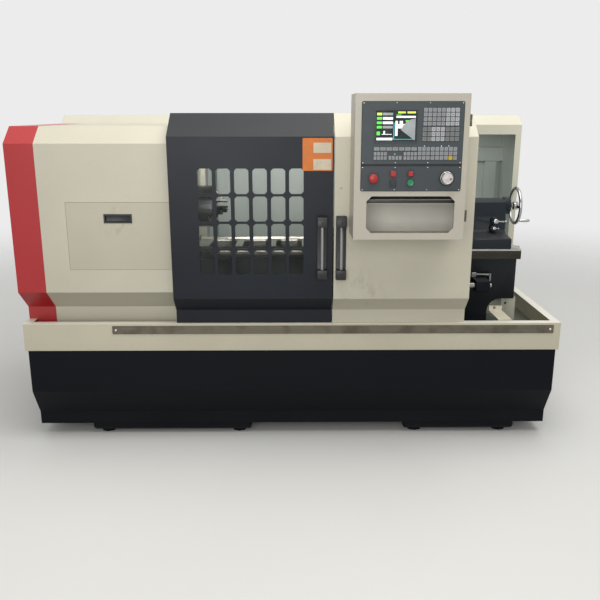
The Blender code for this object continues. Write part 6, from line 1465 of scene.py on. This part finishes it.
@dataclass
class Carriage(Assembly):
    """The bed, the saddle, the cross slide with its turret, the feed motors and the long feed screw."""

    pitch: float = 0.006
    thread_depth: float = 0.0016
    neck: float = 0.040
    screw_radius: float = 0.016
    journal_radius: float = 0.011

    def build(self) -> None:
        """Dress the castings and slides, and cut the feed screw's thread."""
        softened("bed", 0.0022, BED_DARK, "frame")
        softened("saddle", 0.002, CAST_DARK, "carriage")
        softened("screw_bracket", 0.001, SKIRT_DARK, "frame")
        self.dress(GROUND_STEEL, "cross_slide", "turret_base", "turret_head")
        self.dress(MOTOR_BLACK, "x_motor", "z_motor")
        self.dress(FITTING_METAL, "lube_fitting")
        self.build_screw()

    def build_screw(self) -> None:
        """Build the feed screw: a plain core with journals and a rolled thread over it."""
        low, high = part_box("z_screw")
        centre = Vector((0.0, (low.y + high.y) / 2, (low.z + high.z) / 2))
        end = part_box("screw_bracket")[0].x - 0.0005
        start = low.x + self.neck
        core = self.screw_radius - self.thread_depth
        shaft = turned("feed_screw_core", centre, Axis.X, [
            (low.x, self.journal_radius - 0.001), (low.x + 0.001, self.journal_radius),
            (start, self.journal_radius), (start, core), (end, core), (end, self.journal_radius),
            (high.x - 0.001, self.journal_radius), (high.x, self.journal_radius - 0.001),
        ], 32).coat(SCREW_STEEL)
        thread = dot("feed_screw_thread", (start, centre.y, centre.z), apply=False)
        bpy.ops.transform.translate(value=(0.0, 0.0, core - 0.0001))
        rise = self.thread_depth + 0.0001
        for along, up in ((0.16, 0.8), (0.14, 0.2), (0.30, 0.0), (0.14, -0.2), (0.16, -0.8), (0.10, 0.0)):
            step = (along * self.pitch, 0.0, up * rise)
            bpy.ops.mesh.extrude_vertices_move(TRANSFORM_OT_translate={"value": step})
        thread.close()
        coil = thread.body.modifiers.new("coil", "SCREW")
        coil.axis = "X"
        coil.steps = coil.render_steps = 18
        coil.screw_offset = self.pitch
        coil.iterations = int((end - start) / self.pitch) - 1
        coil.use_merge_vertices = True
        coil.merge_threshold = 1e-5
        bpy.ops.object.modifier_apply(modifier=coil.name)
        bpy.ops.object.transform_apply(location=True, rotation=True, scale=True)
        thread.coat(SCREW_STEEL, 60.0)
        joined("threaded_feed_screw", [shaft, thread]).fix("feed_screw", "z_screw")


@dataclass
class Tailstock(Assembly):
    """The tailstock with its quill, centre, handwheel, clamp lever and quill lock."""

    rim_radius: float = 0.008
    wheel_radius: float = 0.083
    spoke_width: float = 0.017
    spoke_thickness: float = 0.009
    hub_radius: float = 0.020
    pin_radius: float = 0.004
    lever_pin_radius: float = 0.005

    def build(self) -> None:
        """Dress the casting and the quill, and build the fittings."""
        softened("tailstock_body", 0.003, CAST_DARK, "tailstock")
        self.dress(CHROME, "quill")
        self.dress(TURNED_STEEL, "live_centre")
        self.build_wheel()
        self.build_grip()
        self.build_lever("clamp_lever", "clamp")
        self.build_lever("quill_lock", "quill_clamp")

    def build_wheel(self) -> None:
        """Build the handwheel: a round rim, two tapered spokes, a turned hub and the grip's pin."""
        low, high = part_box("handwheel")
        grip_low, grip_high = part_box("wheel_grip")
        rim_middle = grip_low.x - self.rim_radius - 0.0005
        centre = Vector((rim_middle, (low.y + high.y) / 2, (low.z + high.z) / 2))
        clear_bench()
        bpy.ops.mesh.primitive_torus_add(
            location=centre, rotation=Axis.X.tilt, major_segments=72, minor_segments=18,
            major_radius=self.wheel_radius, minor_radius=self.rim_radius,
        )
        rim = Blank("wheel_rim").coat(CHROME, 60.0)
        half = Vector((self.spoke_thickness / 2, self.wheel_radius, self.spoke_width / 2))
        spoke = block("wheel_spoke", centre - half, centre + half)
        spoke.open()
        bpy.ops.mesh.select_all(action="SELECT")
        bpy.ops.mesh.bisect(plane_co=tuple(centre), plane_no=(0.0, 1.0, 0.0))
        spoke.pick(lambda _, way: abs(way.y) > 0.9)
        spoke.size((0.75, 1.0, 0.62), centre).close()
        spoke.soften(0.0018, 2, 30.0).coat(CHROME)
        shaft = low.x - centre.x
        hub = turned("wheel_hub", centre, Axis.X, [
            (shaft, 0.0098), (-0.014, 0.0098), (-0.012, 0.014), (-0.011, self.hub_radius - 0.001),
            (-0.010, self.hub_radius), (0.008, self.hub_radius), (0.0105, self.hub_radius - 0.002),
            (0.012, self.hub_radius - 0.006), (0.012, 0.009), (0.0105, 0.008),
        ]).coat(CHROME, 40.0)
        place = (grip_low + grip_high) / 2
        pin = turned("wheel_pin", (0.0, place.y, place.z), Axis.X, [
            (centre.x, self.pin_radius), (grip_high.x - 0.004, self.pin_radius),
            (grip_high.x - 0.0045, self.pin_radius * 0.8),
        ], 24).coat(CHROME)
        joined("handwheel_assembly", [rim, spoke, hub, pin]).fix("handwheel_group", "handwheel")

    def build_grip(self) -> None:
        """Build the turning grip, waisted at both ends and full in the middle."""
        low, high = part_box("wheel_grip")
        middle = (low + high) / 2
        radius = (high.z - low.z) / 2
        long = high.x - low.x
        shape = [
            (0.0, 0.62), (0.02, 0.70), (0.08, 0.72), (0.14, 0.80), (0.25, 0.90), (0.40, 0.98),
            (0.55, 1.0), (0.70, 0.97), (0.83, 0.88), (0.92, 0.72), (0.97, 0.55), (1.0, 0.36),
        ]
        stations = [(share * long, radius * wide) for share, wide in shape]
        grip = turned("round_grip", (low.x, middle.y, middle.z), Axis.X, stations, 36)
        grip.coat(CHROME, 60.0).fix("grip", "wheel_grip")

    def build_lever(self, node: str, body: str) -> None:
        """Build a lever: a domed hub, its pin, a tapered arm and a ball.

        Args:
            node: The solid that it replaces.
            body: The body that it rides on.
        """
        low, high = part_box(node)
        radius = (high.z - low.z) / 2
        face, pin = low.y + radius, self.lever_pin_radius
        centre = Vector((low.x + radius, 0.0, (low.z + high.z) / 2))
        hub = turned(f"{node}_hub", centre, Axis.Y, [
            (high.y, pin), (face, pin), (face, radius), (face - radius * 0.55, radius),
            (face - radius * 0.8, radius * 0.92), (face - radius * 0.94, radius * 0.7),
            (face - radius, radius * 0.4),
        ], 40).coat(CHROME, 50.0)
        arm_middle = (0.0, face - radius / 2, centre.z)
        end = high.x
        ball = radius * 0.45
        tip = [
            (end - ball + ball * math.sin(turn), max(ball * math.cos(turn), 0.0003))
            for turn in (math.radians(angle) for angle in range(-60, 91, 15))
        ]
        stations = [(centre.x, radius * 0.35), (end - 2 * ball, radius * 0.28)] + tip
        arm = turned(f"{node}_arm", arm_middle, Axis.X, stations, 28).coat(CHROME, 50.0)
        joined(f"{node}_turned", [hub, arm]).fix(body, node)


@dataclass
class Studio:
    """The pale floor, the soft lamps and the camera at the photograph's angle."""

    floor_colour: Colour = tone(226, 226, 223)
    floor_bounce: Colour = tone(122, 122, 120)
    floor_size: float = 20.0
    fade: tuple[float, float] = (1.9, 7.5)
    sky: float = 0.42
    backdrop: float = 0.84
    camera_place: Spot = (0.004, -3.484, 1.49)
    camera_down: float = 14.82
    camera_turn: float = -0.54
    lens: float = 42.468

    def build(self) -> None:
        """Set up the stage around the lathe."""
        self.build_floor()
        self.build_world()
        self.add_lamp("overhead_lamp", (0.6, -1.0, 4.6), (0.0, 0.1, 0.9), 4.2, 150.0)
        self.add_lamp("front_lamp", (-0.7, -5.6, 2.0), (0.1, -0.4, 0.9), 3.0, 98.0)
        self.add_lamp("inner_lamp_left", (-0.12, 0.18, 1.36), (-0.15, 0.68, 1.0), 0.6, 2.6, 0.10)
        self.add_lamp("inner_lamp_right", (0.75, 0.46, 1.33), (0.80, 0.68, 1.0), 0.4, 0.6, 0.08)
        self.build_camera()
        view = bpy.context.scene.view_settings
        view.view_transform = "Standard"

    def build_floor(self) -> None:
        """Lay the pale floor."""
        clear_bench()
        bpy.ops.mesh.primitive_plane_add(size=self.floor_size, location=(0.0, 0.0, 0.0))
        floor = bpy.context.object
        floor.name = "floor"
        recipe = Recipe("floor_finish")
        cloud = recipe.grain(FLOOR_CLOUDS, 4.0)
        pale = tuple(value * 0.97 for value in self.floor_colour)
        shown = recipe.blend(recipe.spread(cloud), pale, self.floor_colour)
        path = recipe.add("ShaderNodeLightPath").outputs
        seen = recipe.most(*(path[f"Is {kind} Ray"] for kind in ("Camera", "Glossy", "Transmission")))
        recipe.feed(recipe.shader.inputs["Base Color"], recipe.blend(seen, self.floor_bounce, shown))
        recipe.shader.inputs["Roughness"].default_value = 0.75
        apart = recipe.add("ShaderNodeVectorMath", {0: recipe.place}, operation="LENGTH").outputs["Value"]
        inputs = {0: apart, 1: self.fade[0], 2: self.fade[1], 3: 1.0, 4: 0.0}
        fading = recipe.add("ShaderNodeMapRange", inputs, interpolation_type="SMOOTHSTEP")
        recipe.feed(recipe.shader.inputs["Alpha"], fading.outputs[0])
        floor.data.materials.append(recipe.material)

    def build_world(self) -> None:
        """Light the lathe evenly, and show a pale backdrop to the camera, gloss and glass."""
        world = bpy.data.worlds.new("studio")
        bpy.context.scene.world = world
        world.use_nodes = True
        tree = world.node_tree
        shade = tree.nodes["Background"]
        shade.inputs["Color"].default_value = (1.0, 1.0, 1.0, 1.0)
        path = tree.nodes.new("ShaderNodeLightPath")
        seen = path.outputs["Is Camera Ray"]
        for name in ("Is Glossy Ray", "Is Transmission Ray"):
            either = tree.nodes.new("ShaderNodeMath")
            either.operation = "MAXIMUM"
            tree.links.new(seen, either.inputs[0])
            tree.links.new(path.outputs[name], either.inputs[1])
            seen = either.outputs[0]
        level = tree.nodes.new("ShaderNodeMapRange")
        tree.links.new(seen, level.inputs[0])
        level.inputs[3].default_value = self.sky
        level.inputs[4].default_value = self.backdrop
        tree.links.new(level.outputs[0], shade.inputs["Strength"])

    @staticmethod
    def add_lamp(
        name: str, place: Spot, target: Spot, size: float, power: float, height: float = 0.0
    ) -> None:
        """Hang one flat lamp that points at a target.

        Args:
            name: The lamp's name.
            place: Where it hangs.
            target: The point that it faces.
            size: Its width.
            power: Its power in watts.
            height: Its height, where that isn't its width.
        """
        clear_bench()
        aim = (Vector(target) - Vector(place)).to_track_quat("-Z", "Y").to_euler()
        bpy.ops.object.light_add(type="AREA", location=place, rotation=aim)
        lamp = bpy.context.object
        lamp.name = name
        lamp.data.shape = "RECTANGLE"
        lamp.data.size = size
        lamp.data.size_y = height or size
        lamp.data.energy = power
        lamp.data.color = (1.0, 0.99, 0.965)
        lamp.visible_camera = False

    def build_camera(self) -> None:
        """Stand the camera where the photograph was taken."""
        clear_bench()
        turn = (math.radians(90.0 - self.camera_down), 0.0, math.radians(self.camera_turn))
        bpy.ops.object.camera_add(location=self.camera_place, rotation=turn)
        camera = bpy.context.object
        camera.name = "photo_camera"
        camera.data.lens = self.lens
        camera.data.sensor_width = 36.0
        bpy.context.scene.camera = camera


def main() -> None:
    """Build every sub-assembly and the studio, in order."""
    logging.basicConfig(level=logging.INFO, format="%(name)s: %(message)s")
    for assembly in (Base(), Covers(), Doors(), ControlBox(), Headstock(), Carriage(), Tailstock()):
        assembly.build()
        LOG.info("%s is built", type(assembly).__name__)
    Studio().build()


if __name__ == "__main__":
    main()
